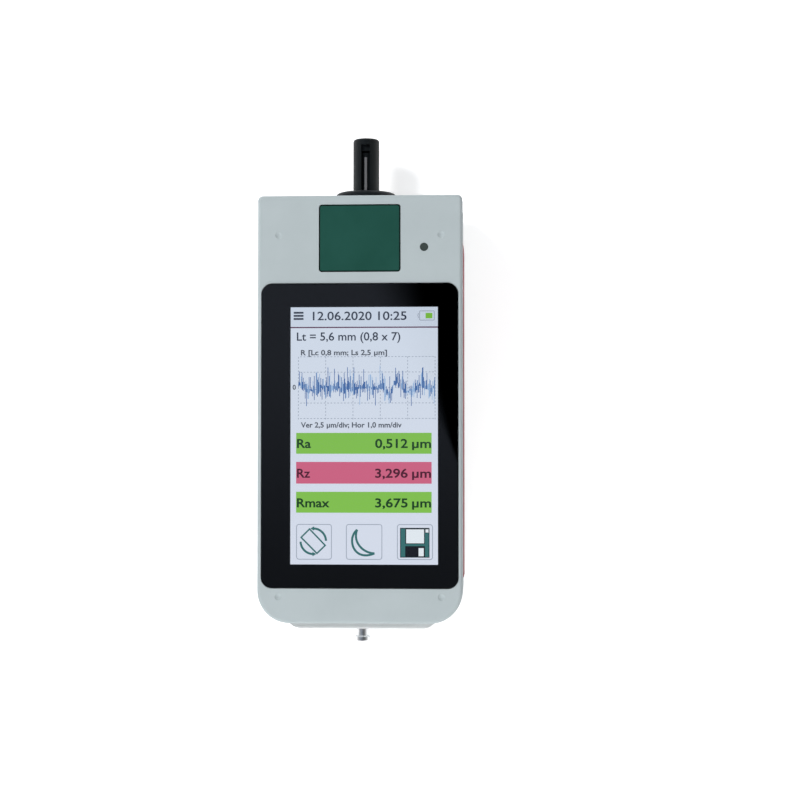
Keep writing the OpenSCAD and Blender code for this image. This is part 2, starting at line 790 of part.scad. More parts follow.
// Board with the parts on it: processor, memory, charger and the light under the lens
module main_board() color(board_colour) difference() {
    union() {
        slab(board_w, board_shoulder_y, board_head_y, board_z, board_top_z);
        slab(tongue_w, board_head_y - cut, board_tongue_head_y, board_z, board_top_z);
        slab(tongue_w, board_tongue_tail_y, board_shoulder_y + cut, board_z, board_top_z);
        translate([lens_x - led_size.x / 2, lens_y - led_size.y / 2, board_top_z]) cube(led_size);
        chip(processor_at, processor);
        chip(memory_at, memory);
        chip(charger_at, charger);
    }
    board_grid() translate([0, 0, board_z - cut])
        cylinder(d = board_screw_d + 2 * fixed_gap, h = board_t + 2 * cut);
}

module board_screws() color(steel_colour) board_grid() {
    translate([0, 0, board_z]) cylinder(d = board_screw_d, h = board_screw_l);
    translate([0, 0, board_z - board_head_h]) cylinder(d = board_head_d, h = board_head_h);
}

// Key with a flange that stops it under the shell's face, and a stem to the plunger
module start_key() color(key_colour) translate([0, key_y, 0]) {
    soft_block(key_w, key_l, key_corner_r, key_corner_r, plate_z - key_flange, key_top_z, key_edge_r);
    translate([0, 0, plate_z - key_flange]) linear_extrude(key_flange)
        round_rect(key_w + 2 * key_flange, key_l + 2 * key_flange, key_corner_r);
    translate([0, 0, plunger_top_z]) cylinder(d = plunger_d + 2 * stem_wall, h = key_stem);
}

module switch_plunger() color(black_colour)
    translate([0, key_y, board_top_z + key_travel + slide_gap])
        cylinder(d = plunger_d, h = plunger_top_z - board_top_z - key_travel - slide_gap);

module key_switch() color(switch_colour) translate([0, key_y, board_top_z]) difference() {
    linear_extrude(switch_top_z - board_top_z) square(switch_size, center = true);
    translate([0, 0, -cut]) cylinder(d = plunger_d + 2 * run_gap, h = switch_top_z - board_top_z + 2 * cut);
}

module status_lens() color(lens_colour) translate([lens_x, lens_y, 0]) {
    translate([0, 0, board_top_z + led_size.z + fixed_gap])
        cylinder(d = lens_d, h = face_z - board_top_z - led_size.z - fixed_gap);
    translate([0, 0, plate_z - lens_flange]) cylinder(d = lens_d + 2 * lens_flange, h = lens_flange);
}

// Screws with a cross recess in the head
module housing_screws() color(steel_colour) screw_grid() translate([0, 0, screw_seat_z]) difference() {
    union() {
        cylinder(d = screw_d, h = screw_l);
        translate([0, 0, -screw_head_h]) cylinder(d = screw_head_d, h = screw_head_h);
    }
    for (turn = [0, 90]) rotate(turn)
        slab(recess_l, -recess_w / 2, recess_w / 2, -screw_head_h - cut, recess_depth - screw_head_h);
}

module stand_inserts() color(brass_colour) both_sides() translate([insert_spacing / 2, insert_y, under_z])
    difference() {
        cylinder(d = insert_d, h = insert_l);
        translate([0, 0, -cut]) cylinder(d = insert_bore, h = insert_l + 2 * cut);
    }

module drive_sleeve() color(sleeve_colour) on_drive_axis() difference() {
    bar_y(drive_d, drive_back_y, nose_back_y);
    bar_y(sleeve_bore, drive_back_y - cut, nose_back_y + cut);
}

// Round bars along Y at both guide rods
module rod_pair(d, y0, y1) both_sides() translate([rod_spacing / 2, 0, 0]) bar_y(d, y0, y1);

// Domed nose with a spigot in the sleeve, a seat for the guard and a keyhole that the skid draws back into
module drive_nose() color(black_colour) on_drive_axis() difference() {
    turned_y() {
        translate([0, spigot_y]) square([sleeve_bore / 2 - fixed_gap, spigot_l]);
        translate([0, nose_back_y]) square([nose_d / 2, nose_l - nose_edge_r]);
        translate([0, nose_back_y]) square([nose_d / 2 - nose_edge_r, nose_l]);
        translate([nose_d / 2 - nose_edge_r, nose_front_y - nose_edge_r]) circle(r = nose_edge_r);
        polygon([[0, nose_front_y], [nose_d / 2 - nose_edge_r, nose_front_y],
            [guard_d / 2, nose_front_y + nose_dome], [0, nose_front_y + nose_dome]]);
    }
    bar_y(guard_bore, spigot_y - cut, nose_front_y + nose_dome + cut);
    bar_y(guard_d + 2 * run_gap, guard_back_y, nose_front_y + nose_dome + cut);
    slab(skid_slot_w, spigot_y - cut, nose_front_y + nose_dome + cut, -skid_drop - slide_gap, 0);
    rod_pair(rod_d + 2 * run_gap, spigot_y - cut, spigot_y + rod_grip + fixed_gap);
}

module drive_end_cap() color(black_colour) on_drive_axis() {
    bar_y(drive_d, drive_back_y - cap_flange_t, drive_back_y);
    bar_y(sleeve_bore - 2 * fixed_gap, drive_back_y, motor_back_y);
}

module gear_motor() color(motor_colour) on_drive_axis() difference() {
    bar_y(sleeve_bore - 2 * fixed_gap, motor_back_y, motor_front_y);
    bar_y(motor_shaft_d + 2 * run_gap, motor_front_y - shaft_grip - fixed_gap, motor_front_y + cut);
}

module motor_shaft() color(steel_colour) on_drive_axis()
    bar_y(motor_shaft_d, motor_front_y - shaft_grip, coupling_y + coupling_l / 2 - fixed_gap);

module shaft_coupling() color(brass_colour) on_drive_axis() difference() {
    bar_y(coupling_d, coupling_y, coupling_y + coupling_l);
    bar_y(motor_shaft_d + 2 * run_gap, coupling_y - cut, coupling_y + coupling_l / 2);
    bar_y(lead_screw_d + 2 * run_gap, coupling_y + coupling_l / 2, coupling_y + coupling_l + cut);
}

module lead_screw() color(steel_colour) on_drive_axis()
    bar_y(lead_screw_d, coupling_y + coupling_l / 2, screw_tip_y);

module drive_bulkhead() color(motor_colour) on_drive_axis() difference() {
    bar_y(sleeve_bore - 2 * fixed_gap, bulkhead_y, bulkhead_y + bulkhead_t);
    bar_y(bush_d + 2 * run_gap, bulkhead_y - cut, bulkhead_y + bulkhead_t + cut);
    rod_pair(rod_d + 2 * run_gap, bulkhead_y + bulkhead_t - rod_grip - fixed_gap,
        bulkhead_y + bulkhead_t + cut);
}

module screw_bush() color(brass_colour) on_drive_axis() difference() {
    bar_y(bush_d, bulkhead_y, bulkhead_y + bulkhead_t);
    bar_y(lead_screw_d + 2 * run_gap, bulkhead_y - cut, bulkhead_y + bulkhead_t + cut);
}

module guide_rods() color(steel_colour) on_drive_axis()
    rod_pair(rod_d, bulkhead_y + bulkhead_t - rod_grip, spigot_y + rod_grip);

module carriage() color(carriage_colour) on_drive_axis() difference() {
    bar_y(sleeve_bore - 2 * slide_gap, carriage_back_y, carriage_front_y);
    bar_y(lead_screw_d + 2 * run_gap, carriage_back_y - cut, carriage_front_y + cut);
    rod_pair(rod_d + 2 * run_gap, carriage_back_y - cut, carriage_front_y + cut);
}

// Tube that carries the pick-up, hollow at the back for the tip of the lead screw
module pickup_socket() color(black_colour) on_drive_axis() difference() {
    bar_y(pickup_d, carriage_front_y, pickup_back_y);
    bar_y(lead_screw_d + 2 * slide_gap, carriage_front_y - cut,
        carriage_front_y + traverse - screw_short + screw_room);
    bar_y(plug_d + 2 * run_gap, pickup_back_y - plug_l, pickup_back_y + cut);
}

// Tube with a round tip, a slot over the pick-up and one under it for the skid
module pickup_guard() color(black_colour) on_drive_axis() difference() {
    turned_y() translate([0, guard_back_y]) {
        square([guard_d / 2, guard_tip_y - guard_back_y - guard_edge_r]);
        square([guard_d / 2 - guard_edge_r, guard_tip_y - guard_back_y]);
        translate([guard_d / 2 - guard_edge_r, guard_tip_y - guard_back_y - guard_edge_r])
            circle(r = guard_edge_r);
    }
    bar_y(guard_bore, guard_back_y - cut, guard_bore_end_y);
    slab(slot_w, nose_front_y + nose_dome, slot_end_y, guard_d / 2 - slot_depth, guard_d / 2 + cut);
    slab(skid_slot_w, guard_back_y - cut, skid_slot_end_y, -guard_d / 2 - cut, 0);
}

module pickup_body() color(black_colour) on_drive_axis() difference() {
    union() {
        bar_y(pickup_d, pickup_back_y, pickup_tip_y);
        bar_y(plug_d, pickup_back_y - plug_l + fixed_gap, pickup_back_y);
    }
    slab(spine_w + 2 * run_gap, pickup_back_y - cut, spine_tip_y + run_gap,
        pickup_d / 2 + spine_proud - spine_h, pickup_d / 2 + cut);
    slab(lever_channel_w, pivot_y - lever_channel_back, skid_y + skid_l / 2,
        -pickup_d / 2 - cut, -lever_channel_top);
    slab(skid_w + 2 * run_gap, skid_y - skid_l / 2 - run_gap, skid_y + skid_l / 2 + run_gap,
        -pickup_d / 2 - cut, -skid_top);
    translate([0, pivot_y, -lever_drop]) bar_x(pivot_d + 2 * run_gap, pivot_l);
}

module pickup_spine() color(spine_colour) on_drive_axis()
    slab(spine_w, pickup_back_y, spine_tip_y,
        pickup_d / 2 + spine_proud - spine_h, pickup_d / 2 + spine_proud);

// Skid with a curved sole and a hole for the stylus
module skid() color(skid_colour) on_drive_axis() difference() {
    intersection() {
        slab(skid_w, skid_y - skid_l / 2, skid_y + skid_l / 2, -skid_drop, -skid_top);
        translate([0, skid_y, skid_sole_r - skid_drop]) bar_x(2 * skid_sole_r, skid_w + cut);
    }
    translate([0, skid_y, -skid_drop - cut]) cylinder(d = stylus_hole_d, h = skid_drop);
}

module pivot_pin() color(steel_colour) on_drive_axis()
    translate([0, pivot_y, -lever_drop]) bar_x(pivot_d, pivot_l);

// Lever with a hub on the pivot pin and an eye for the stylus
module stylus_lever() color(steel_colour) on_drive_axis() translate([0, 0, -lever_drop]) difference() {
    union() {
        bar_y(lever_d, pivot_y, skid_y);
        translate([0, pivot_y, 0]) bar_x(lever_hub_d, lever_hub_w);
        translate([0, skid_y, -lever_d / 2]) cylinder(d = lever_eye_d, h = lever_d);
    }
    translate([0, pivot_y, 0]) bar_x(pivot_d + 2 * run_gap, lever_hub_w + cut);
    translate([0, skid_y, -cut]) cylinder(d = stylus_d + 2 * run_gap, h = 2 * cut);
}

module stylus_tip() color(diamond_colour) on_drive_axis() translate([0, skid_y, -skid_drop - stylus_past]) {
    cylinder(d1 = stylus_end_d, d2 = stylus_d, h = stylus_point);
    translate([0, 0, stylus_point])
        cylinder(d = stylus_d, h = skid_drop + stylus_past - stylus_point - lever_drop + lever_d / 2);
}

// Channel with a shelf, side walls and legs, in which the tray slides
module tray_guide() color(guide_colour) {
    slab(guide_w, guide_y, guide_back_y, shelf_z, tray_z);
    slab(guide_w, guide_back_y - guide_wall, guide_back_y, shelf_z, tray_z + guide_wall_h);
    both_sides() translate([guide_w / 2 - guide_wall / 2, 0, 0]) {
        slab(guide_wall, guide_y, guide_back_y, shelf_z, tray_z + guide_wall_h);
        for (y = leg_ys) slab(guide_wall, y, y + leg_l, floor_z, tray_z);
    }
}

// Plan of the tray's front, with round ends
module tray_front_plan() {
    flat = tray_front_w / 2 - sqrt(pow(tray_end_r, 2) - pow(tray_end_r - tray_front_t, 2));
    intersection() {
        translate([-tray_front_w / 2, 0]) square([tray_front_w, tray_front_t]);
        union() {
            translate([-flat, 0]) square([2 * flat, tray_front_t]);
            for (side = [-1, 1]) translate([side * flat, tray_end_r]) circle(r = tray_end_r);
        }
    }
}

// Upright section of the tray's front, with rounded outer edges
module tray_front_section() {
    h = tray_h + 2 * tray_lip;
    translate([tray_edge_r, 0]) square([tray_front_t - tray_edge_r, h]);
    translate([0, tray_edge_r]) square([tray_front_t, h - 2 * tray_edge_r]);
    for (z = [tray_edge_r, h - tray_edge_r]) translate([tray_edge_r, z]) circle(r = tray_edge_r);
}

module standard_tray() color(tray_colour) difference() {
    union() {
        translate([0, tray_front_y, 0]) intersection() {
            translate([0, 0, tray_z - tray_lip]) linear_extrude(tray_h + 2 * tray_lip) tray_front_plan();
            along_x(-tray_front_w / 2, tray_front_w / 2)
                translate([0, tray_z - tray_lip]) tray_front_section();
        }
        slab(tray_w, base_tail_y, tray_back_y, tray_z, tray_top_z);
    }
    slab(standard_w + 2 * fixed_gap, standard_y - standard_l / 2 - fixed_gap,
        standard_y + standard_l / 2 + fixed_gap, tray_top_z - standard_t, tray_top_z + cut);
    both_sides() translate([standard_w / 2, standard_y, tray_top_z - standard_t])
        cylinder(d = finger_d, h = standard_t + cut);
    translate([0, 0, knob_z]) bar_y(stud_d + 2 * run_gap, tray_front_y - cut, base_tail_y);
}

// Turned knob with a stud in the tray's front
module tray_knob() color(knob_colour) translate([0, tray_front_y, knob_z]) mirror([0, 1, 0]) turned_y() {
    translate([0, -tray_front_t]) square([stud_d / 2, tray_front_t]);
    square([knob_neck_d / 2, knob_l - knob_edge_r]);
    translate([0, knob_l - knob_head_l]) {
        square([knob_d / 2 - knob_edge_r, knob_head_l]);
        translate([0, knob_edge_r]) square([knob_d / 2, knob_head_l - 2 * knob_edge_r]);
        for (y = [knob_edge_r, knob_head_l - knob_edge_r])
            translate([knob_d / 2 - knob_edge_r, y]) circle(r = knob_edge_r);
    }
}

module roughness_standard() color(steel_colour) slab(standard_w, standard_y - standard_l / 2,
    standard_y + standard_l / 2, tray_top_z - standard_t, tray_top_z);

module battery_cell() color(cell_colour) translate([cell_x, 0, cell_z]) {
    bar_y(cell_d, cell_back_y, cell_front_y - cell_tip_h);
    bar_y(cell_tip_d, cell_front_y - cell_tip_h, cell_front_y);
}

module interface_board() color(board_colour) translate([interface_x - board_t / 2, 0, 0])
    slab(board_t, socket_y - interface_l / 2, socket_y + interface_l / 2,
        interface_z, interface_z + interface_h);

// Socket shell on the interface board, open to the left, with a tongue inside
module socket(index, tongue) translate([0, socket_y + (index - 1) * socket_pitch, socket_z]) {
    size = socket_sizes[index];
    inner = [size.x - 2 * socket_wall, size.y - 2 * socket_wall];
    board_x = interface_x - board_t;
    difference() {
        translate([socket_mouth_x, -size.x / 2, -size.y / 2])
            cube([board_x - socket_mouth_x, size.x, size.y]);
        translate([socket_mouth_x - cut, -inner.x / 2, -inner.y / 2])
            cube([board_x - socket_mouth_x - socket_wall + cut, inner.x, inner.y]);
    }
    if (tongue > 0) translate([socket_mouth_x + tongue_inset, -inner.x / 2 + tongue_inset, -tongue / 2])
        cube([board_x - socket_mouth_x - tongue_inset - socket_wall / 2, inner.x - 2 * tongue_inset, tongue]);
}

module usb_socket() color(steel_colour) socket(0, usb_tongue);

module card_socket() color(steel_colour) socket(1, 0);

module data_socket() color(black_colour) socket(2, data_tongue);

placed() front_shell();
placed() base_shell();
placed() side_band_right();
placed() side_band_left();
placed() glide_rail_right();
placed() glide_rail_left();
placed() touch_glass();
placed() display_gasket();
placed() display_panel();
placed() main_board();
placed() board_screws();
placed() start_key();
placed() switch_plunger();
placed() key_switch();
placed() status_lens();
placed() housing_screws();
placed() stand_inserts();
placed() drive_sleeve();
placed() drive_nose();
placed() drive_end_cap();
placed() gear_motor();
placed() motor_shaft();
placed() shaft_coupling();
placed() lead_screw();
placed() drive_bulkhead();
placed() screw_bush();
placed() guide_rods();
placed() carriage();
placed() pickup_socket();
placed() pickup_guard();
placed() pickup_body();
placed() pickup_spine();
placed() skid();
placed() pivot_pin();
placed() stylus_lever();
placed() stylus_tip();
placed() tray_guide();
placed() standard_tray();
placed() tray_knob();
placed() roughness_standard();
placed() battery_cell();
placed() interface_board();
placed() usb_socket();
placed() card_socket();
placed() data_socket();
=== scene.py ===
# Looks of the surface roughness tester: finishes for its solids, its touch glass, its lit display and
# the studio round it. Lengths are in metres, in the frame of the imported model, and those of the display's
# layout in mm.
import json
import math
import random

import bmesh
import bpy
from mathutils import Matrix, Vector
from mathutils.geometry import interpolate_bezier


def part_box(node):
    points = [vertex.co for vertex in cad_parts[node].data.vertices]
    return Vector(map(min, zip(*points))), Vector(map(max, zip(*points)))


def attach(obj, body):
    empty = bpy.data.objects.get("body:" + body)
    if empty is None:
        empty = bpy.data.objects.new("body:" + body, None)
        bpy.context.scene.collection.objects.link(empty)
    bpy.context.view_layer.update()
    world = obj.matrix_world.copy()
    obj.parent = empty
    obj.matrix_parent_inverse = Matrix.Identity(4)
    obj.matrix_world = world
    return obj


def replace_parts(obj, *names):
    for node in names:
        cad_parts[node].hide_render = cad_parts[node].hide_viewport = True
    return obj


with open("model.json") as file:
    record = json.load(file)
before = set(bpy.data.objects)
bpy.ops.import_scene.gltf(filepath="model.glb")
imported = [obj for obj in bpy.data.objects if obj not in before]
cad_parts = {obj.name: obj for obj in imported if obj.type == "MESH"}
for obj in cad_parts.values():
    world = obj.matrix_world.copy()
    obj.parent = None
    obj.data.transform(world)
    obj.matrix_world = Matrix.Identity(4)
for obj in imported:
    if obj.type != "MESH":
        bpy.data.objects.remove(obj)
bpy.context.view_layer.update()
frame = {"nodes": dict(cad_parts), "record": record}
solids = frame["nodes"]
MM = 0.001


# Camera

shell_low, shell_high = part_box("front_shell")
face_middle = Vector(((shell_low.x + shell_high.x) / 2, (shell_low.y + shell_high.y) / 2, shell_high.z))
# The camera stands a little to the right of the tester and towards its tail
CAMERA_OFFSET = Vector((52, -17.75, 670)) * MM
AIM_OFFSET = Vector((14.9, 3.15, 0)) * MM
# Width of what the camera sees at the front face
SEEN_WIDTH = 293.4 * MM
SENSOR = 36


def set_camera():
    """Camera with its upper edge towards the head."""
    place = face_middle + CAMERA_OFFSET
    ahead = face_middle + AIM_OFFSET - place
    data = bpy.data.cameras.new("camera")
    data.sensor_width = SENSOR
    data.lens = SENSOR * ahead.length / SEEN_WIDTH
    data.clip_start = 0.01
    data.clip_end = 100
    camera = bpy.data.objects.new("camera", data)
    bpy.context.scene.collection.objects.link(camera)
    back = -ahead.normalized()
    right = Vector((0, 1, 0)).cross(back).normalized()
    up = back.cross(right)
    turn = Matrix((right, up, back)).transposed().to_4x4()
    camera.matrix_world = Matrix.Translation(place) @ turn
    bpy.context.scene.camera = camera


# Node helpers

def srgb(red, green, blue):
    """Linear colour of one that is written in 8 bits."""
    def channel(value):
        value /= 255
        return value / 12.92 if value <= 0.04045 else ((value + 0.055) / 1.055) ** 2.4
    return (channel(red), channel(green), channel(blue), 1)


def put(tree, socket, value):
    """Fills a socket with a value, or links another socket to it."""
    if isinstance(value, bpy.types.NodeSocket):
        tree.links.new(value, socket)
    else:
        socket.default_value = value


def add(tree, kind, inputs=None, **settings):
    """New shader node, with its settings made and its sockets filled or linked."""
    node = tree.nodes.new("ShaderNode" + kind)
    for key, value in settings.items():
        setattr(node, key, value)
    for key, value in (inputs or {}).items():
        put(tree, node.inputs[key], value)
    return node


def math_node(tree, operation, first, second=0.0):
    return add(tree, "Math", {0: first, 1: second}, operation=operation).outputs[0]


def ramp(tree, factor, *stops):
    """Colour ramp over stops of (place, colour)."""
    node = add(tree, "ValToRGB", {"Fac": factor})
    elements = node.color_ramp.elements
    while len(elements) < len(stops):
        elements.new(0.5)
    for element, (place, colour) in zip(elements, stops):
        element.position = place
        element.color = colour
    return node.outputs["Color"]


def span(tree, value, low, high, to_low, to_high):
    """Value carried smoothly from one range to another."""
    return add(tree, "MapRange", {"Value": value, "From Min": low, "From Max": high,
                                  "To Min": to_low, "To Max": to_high},
               interpolation_type="SMOOTHSTEP").outputs["Result"]


def blend_colours(tree, factor, first, second):
    return add(tree, "Mix", {0: factor, 6: first, 7: second}, data_type="RGBA").outputs[2]


def new_group(name, inputs, outputs):
    """Empty node group, with the sockets at its two ends."""
    tree = bpy.data.node_groups.new(name, "ShaderNodeTree")
    for label, kind, value in inputs:
        socket = tree.interface.new_socket(label, in_out="INPUT", socket_type="NodeSocket" + kind)
        if value is not None:
            socket.default_value = value
    for label in outputs:
        tree.interface.new_socket(label, in_out="OUTPUT", socket_type="NodeSocketFloat")
    return tree, tree.nodes.new("NodeGroupInput").outputs, tree.nodes.new("NodeGroupOutput").inputs


def place_group(tree, group, **inputs):
    node = tree.nodes.new("ShaderNodeGroup")
    node.node_tree = group
    for key, value in inputs.items():
        put(tree, node.inputs[key], value)
    return node.outputs


# Effects that several finishes share

def make_grain():
    """Fine pits of a moulded or blasted surface, and a broad mottle."""
    tree, given, result = new_group(
        "surface_grain", [("Vector", "Vector", None), ("Fine", "Float", 2600.0), ("Broad", "Float", 60.0)],
        ["Height", "Mottle"])
    fine = add(tree, "TexNoise", {"Vector": given["Vector"], "Scale": given["Fine"], "Detail": 2.0,
                                  "Roughness": 0.6})
    broad = add(tree, "TexNoise", {"Vector": given["Vector"], "Scale": given["Broad"], "Detail": 4.0,
                                   "Roughness": 0.55})
    tree.links.new(fine.outputs["Fac"], result["Height"])
    tree.links.new(broad.outputs["Fac"], result["Mottle"])
    return tree


def make_edge_wear():
    """Mask of the edges that hands and the bench rub, broken up by noise."""
    tree, given, result = new_group(
        "edge_wear", [("Vector", "Vector", None), ("Reach", "Float", 0.3 * MM), ("Break", "Float", 900.0)],
        ["Edge"])
    soft = add(tree, "Bevel", {"Radius": given["Reach"]}, samples=4)
    plain = add(tree, "NewGeometry")
    along = add(tree, "VectorMath", {0: soft.outputs["Normal"], 1: plain.outputs["Normal"]},
                operation="DOT_PRODUCT").outputs["Value"]
    edge = span(tree, along, 0.99, 0.86, 0.0, 1.0)
    noise = add(tree, "TexNoise", {"Vector": given["Vector"], "Scale": given["Break"], "Detail": 3.0})
    broken = span(tree, noise.outputs["Fac"], 0.35, 0.65, 0.25, 1.0)
    tree.links.new(math_node(tree, "MULTIPLY", edge, broken), result["Edge"])
    return tree


def make_pixels():
    """Shade of a display's pixel grid: 1 on a pixel and less between pixels."""
    tree, given, result = new_group(
        "pixel_grid", [("Vector", "Vector", None), ("Pitch", "Float", 0.119 * MM), ("Gap", "Float", 0.1)],
        ["Shade"])
    axes = add(tree, "SeparateXYZ", {0: given["Vector"]}).outputs
    parts = []
    for axis in ("X", "Y"):
        part = math_node(tree, "FRACT", math_node(tree, "DIVIDE", axes[axis], given["Pitch"]))
        from_middle = math_node(tree, "ABSOLUTE", math_node(tree, "SUBTRACT", part, 0.5))
        parts.append(span(tree, from_middle, 0.5, 0.36, 0.0, 1.0))
    lit = math_node(tree, "MULTIPLY", *parts)
    dark = math_node(tree, "MULTIPLY", math_node(tree, "SUBTRACT", 1.0, lit), given["Gap"])
    tree.links.new(math_node(tree, "SUBTRACT", 1.0, dark), result["Shade"])
    return tree


def make_streaks():
    """Streaks of a ground or turned metal, along X of the vector that is given."""
    tree, given, result = new_group(
        "ground_streaks",
        [("Vector", "Vector", None), ("Across", "Float", 5000.0), ("Along", "Float", 120.0)],
        ["Height", "Tone"])
    sizes = add(tree, "CombineXYZ", {"X": given["Along"], "Y": given["Across"], "Z": given["Across"]})
    stretched = add(tree, "VectorMath", {0: given["Vector"], 1: sizes.outputs[0]}, operation="MULTIPLY")
    streak = add(tree, "TexNoise", {"Vector": stretched.outputs[0], "Scale": 1.0, "Detail": 3.0})
    cloud = add(tree, "TexNoise", {"Vector": given["Vector"], "Scale": 90.0, "Detail": 2.0})
    tree.links.new(streak.outputs["Fac"], result["Height"])
    both = math_node(tree, "ADD", streak.outputs["Fac"], cloud.outputs["Fac"])
    tree.links.new(math_node(tree, "MULTIPLY", both, 0.5), result["Tone"])
    return tree


surface_grain = make_grain()
edge_wear = make_edge_wear()
pixel_grid = make_pixels()
ground_streaks = make_streaks()


# Finishes

def new_material(name):
    """Material with a shader that is linked to its output, and the place on the surface."""
    material = bpy.data.materials.new(name)
    material.use_nodes = True
    tree = material.node_tree
    tree.nodes.clear()
    place = add(tree, "TexCoord").outputs["Object"]
    shader = add(tree, "BsdfPrincipled")
    sink = add(tree, "OutputMaterial", {"Surface": shader.outputs[0]})
    sink.is_active_output = True
    return material, tree, place, shader


def fill(tree, shader, **inputs):
    for key, value in inputs.items():
        put(tree, shader.inputs[key.replace("_", " ")], value)


# Painted shade in the narrow gap round a piece: how far below its top its sides are darkened, and the colour
# of that shade
GAP_SHADE = 0.3 * MM
PAINTED_GAP_SHADE = (0.002, 0.003, 0.003, 1)
# Ways that the streaks of a ground or turned metal run
ALONG_Y = (0, 0, math.pi / 2)
UPRIGHT = (0, math.pi / 2, 0)


def moulded(name, light, dark, rough, fine=2600.0, depth=0.2, worn=None, reach=0.3 * MM, top=None, **extra):
    """Moulded plastic or rubber: fine texture, a faint mottle and, where given, edges worn to a colour.

    Where the height of its top is given, shade is painted on it below that, as in a narrow gap."""
    material, tree, place, shader = new_material(name)
    grain = place_group(tree, surface_grain, Vector=place, Fine=fine)
    colour = ramp(tree, grain["Mottle"], (0.3, dark), (0.7, light))
    if worn:
        edge = place_group(tree, edge_wear, Vector=place, Reach=reach)["Edge"]
        colour = blend_colours(tree, edge, colour, worn)
    # Painted shade: the sides below the top are darkened as if in the shadow of the gap
    if top:
        height = add(tree, "SeparateXYZ", {0: place}).outputs["Z"]
        lit = span(tree, height, top - GAP_SHADE, top, 0.0, 1.0)
        colour = blend_colours(tree, lit, PAINTED_GAP_SHADE, colour)
    roughness = span(tree, grain["Mottle"], 0.3, 0.7, rough + 0.05, rough - 0.05)
    bump = add(tree, "Bump", {"Strength": depth, "Distance": 0.02 * MM, "Height": grain["Height"]})
    fill(tree, shader, Base_Color=colour, Roughness=roughness, Normal=bump.outputs[0], **extra)
    return material


def metal(name, light, dark, rough, turn=(0, 0, 0), across=5000.0, along=120.0, depth=0.15):
    """Ground or turned metal, with streaks along X turned by the angles that are given."""
    material, tree, place, shader = new_material(name)
    turned = add(tree, "Mapping", {"Vector": place, "Rotation": turn}).outputs[0]
    streaks = place_group(tree, ground_streaks, Vector=turned, Across=across, Along=along)
    colour = ramp(tree, streaks["Tone"], (0.35, dark), (0.65, light))
    roughness = span(tree, streaks["Tone"], 0.3, 0.7, rough + 0.06, rough - 0.06)
    bump = add(tree, "Bump", {"Strength": depth, "Distance": 0.01 * MM, "Height": streaks["Height"]})
    fill(tree, shader, Base_Color=colour, Roughness=roughness, Metallic=1.0, Normal=bump.outputs[0])
    return material


def make_finishes():
    """Finish for each of the record's material slots."""
    return {
        "shell_plastic": moulded("shell_plastic", srgb(181, 191, 193), srgb(176, 186, 188), 0.6,
                                 Specular_IOR_Level=0.2),
        "band_plastic": moulded("band_plastic", srgb(142, 31, 44), srgb(136, 28, 41), 0.55, fine=3200.0,
                                Specular_IOR_Level=0.35, Sheen_Weight=0.1, Sheen_Roughness=0.4),
        "rail_rubber": moulded("rail_rubber", srgb(40, 41, 43), srgb(28, 29, 31), 0.72, fine=1800.0,
                               depth=0.4),
        "gasket_foam": moulded("gasket_foam", srgb(48, 48, 48), srgb(30, 30, 30), 0.9, fine=1200.0,
                               depth=0.8),
        "circuit_board": moulded("circuit_board", srgb(38, 92, 58), srgb(30, 74, 48), 0.4, fine=900.0,
                                 depth=0.1, worn=srgb(150, 140, 100), Coat_Weight=0.3),
        "steel": metal("steel", srgb(196, 198, 200), srgb(150, 152, 155), 0.3, ALONG_Y),
        "key_plastic": moulded("key_plastic", srgb(34, 80, 70), srgb(29, 74, 64), 0.55, fine=3400.0,
                               # The key's sides get painted shade below its top
                               top=max(v.co.z for v in solids["start_key"].data.vertices),
                               Specular_IOR_Level=0.2),
        "black_plastic": moulded("black_plastic", srgb(42, 44, 47), srgb(32, 34, 37), 0.5,
                                 worn=srgb(60, 62, 64)),
        "lens_plastic": moulded("lens_plastic", srgb(70, 80, 76), srgb(54, 62, 59), 0.18, fine=800.0,
                                depth=0.05, Coat_Weight=0.6, Coat_Roughness=0.05),
        "brass": metal("brass", srgb(214, 178, 96), srgb(178, 142, 70), 0.32, UPRIGHT),
        "sleeve_aluminium": metal("sleeve_aluminium", srgb(176, 181, 184), srgb(146, 150, 153), 0.4,
                                  UPRIGHT),
        "black_metal": moulded("black_metal", srgb(26, 30, 32), srgb(20, 24, 26), 0.5, fine=4200.0,
                               worn=srgb(38, 42, 44), reach=0.2 * MM, Specular_IOR_Level=0.2),
        "skid_ruby": moulded("skid_ruby", srgb(150, 26, 40), srgb(110, 16, 30), 0.15, fine=900.0,
                             depth=0.05, Coat_Weight=0.5),
        "tray_plastic": moulded("tray_plastic", srgb(219, 221, 221), srgb(214, 216, 216), 0.55,
                                Specular_IOR_Level=0.3),
        "chrome": metal("chrome", srgb(244, 245, 246), srgb(226, 228, 230), 0.38, UPRIGHT, depth=0.08),
        "standard_steel": metal("standard_steel", srgb(206, 208, 210), srgb(166, 168, 171), 0.22,
                                across=12000.0, along=60.0, depth=0.5),
        "cell_wrap": moulded("cell_wrap", srgb(66, 116, 140), srgb(54, 100, 122), 0.35, fine=500.0,
                             depth=0.05, Coat_Weight=0.2),
    }


def make_clear_glass():
    """Glass with faint smears."""
    material, tree, place, shader = new_material("clear_glass")
    smear = add(tree, "TexNoise", {"Vector": place, "Scale": 45.0, "Detail": 4.0})
    roughness = span(tree, smear.outputs["Fac"], 0.4, 0.75, 0.0, 0.035)
    fill(tree, shader, Base_Color=(1, 1, 1, 1), Roughness=roughness, Transmission_Weight=1.0, IOR=1.5)
    return material


def make_black_print():
    """Black ink on the back of the glass, with a faint mottle."""
    material, tree, place, shader = new_material("black_print")
    grain = place_group(tree, surface_grain, Vector=place, Fine=1500.0, Broad=40.0)
    colour = ramp(tree, grain["Mottle"], (0.3, PRINT_DARK), (0.7, PRINT_LIGHT))
    fill(tree, shader, Base_Color=colour, Roughness=span(tree, grain["Mottle"], 0.3, 0.7, 0.6, 0.5))
    return material


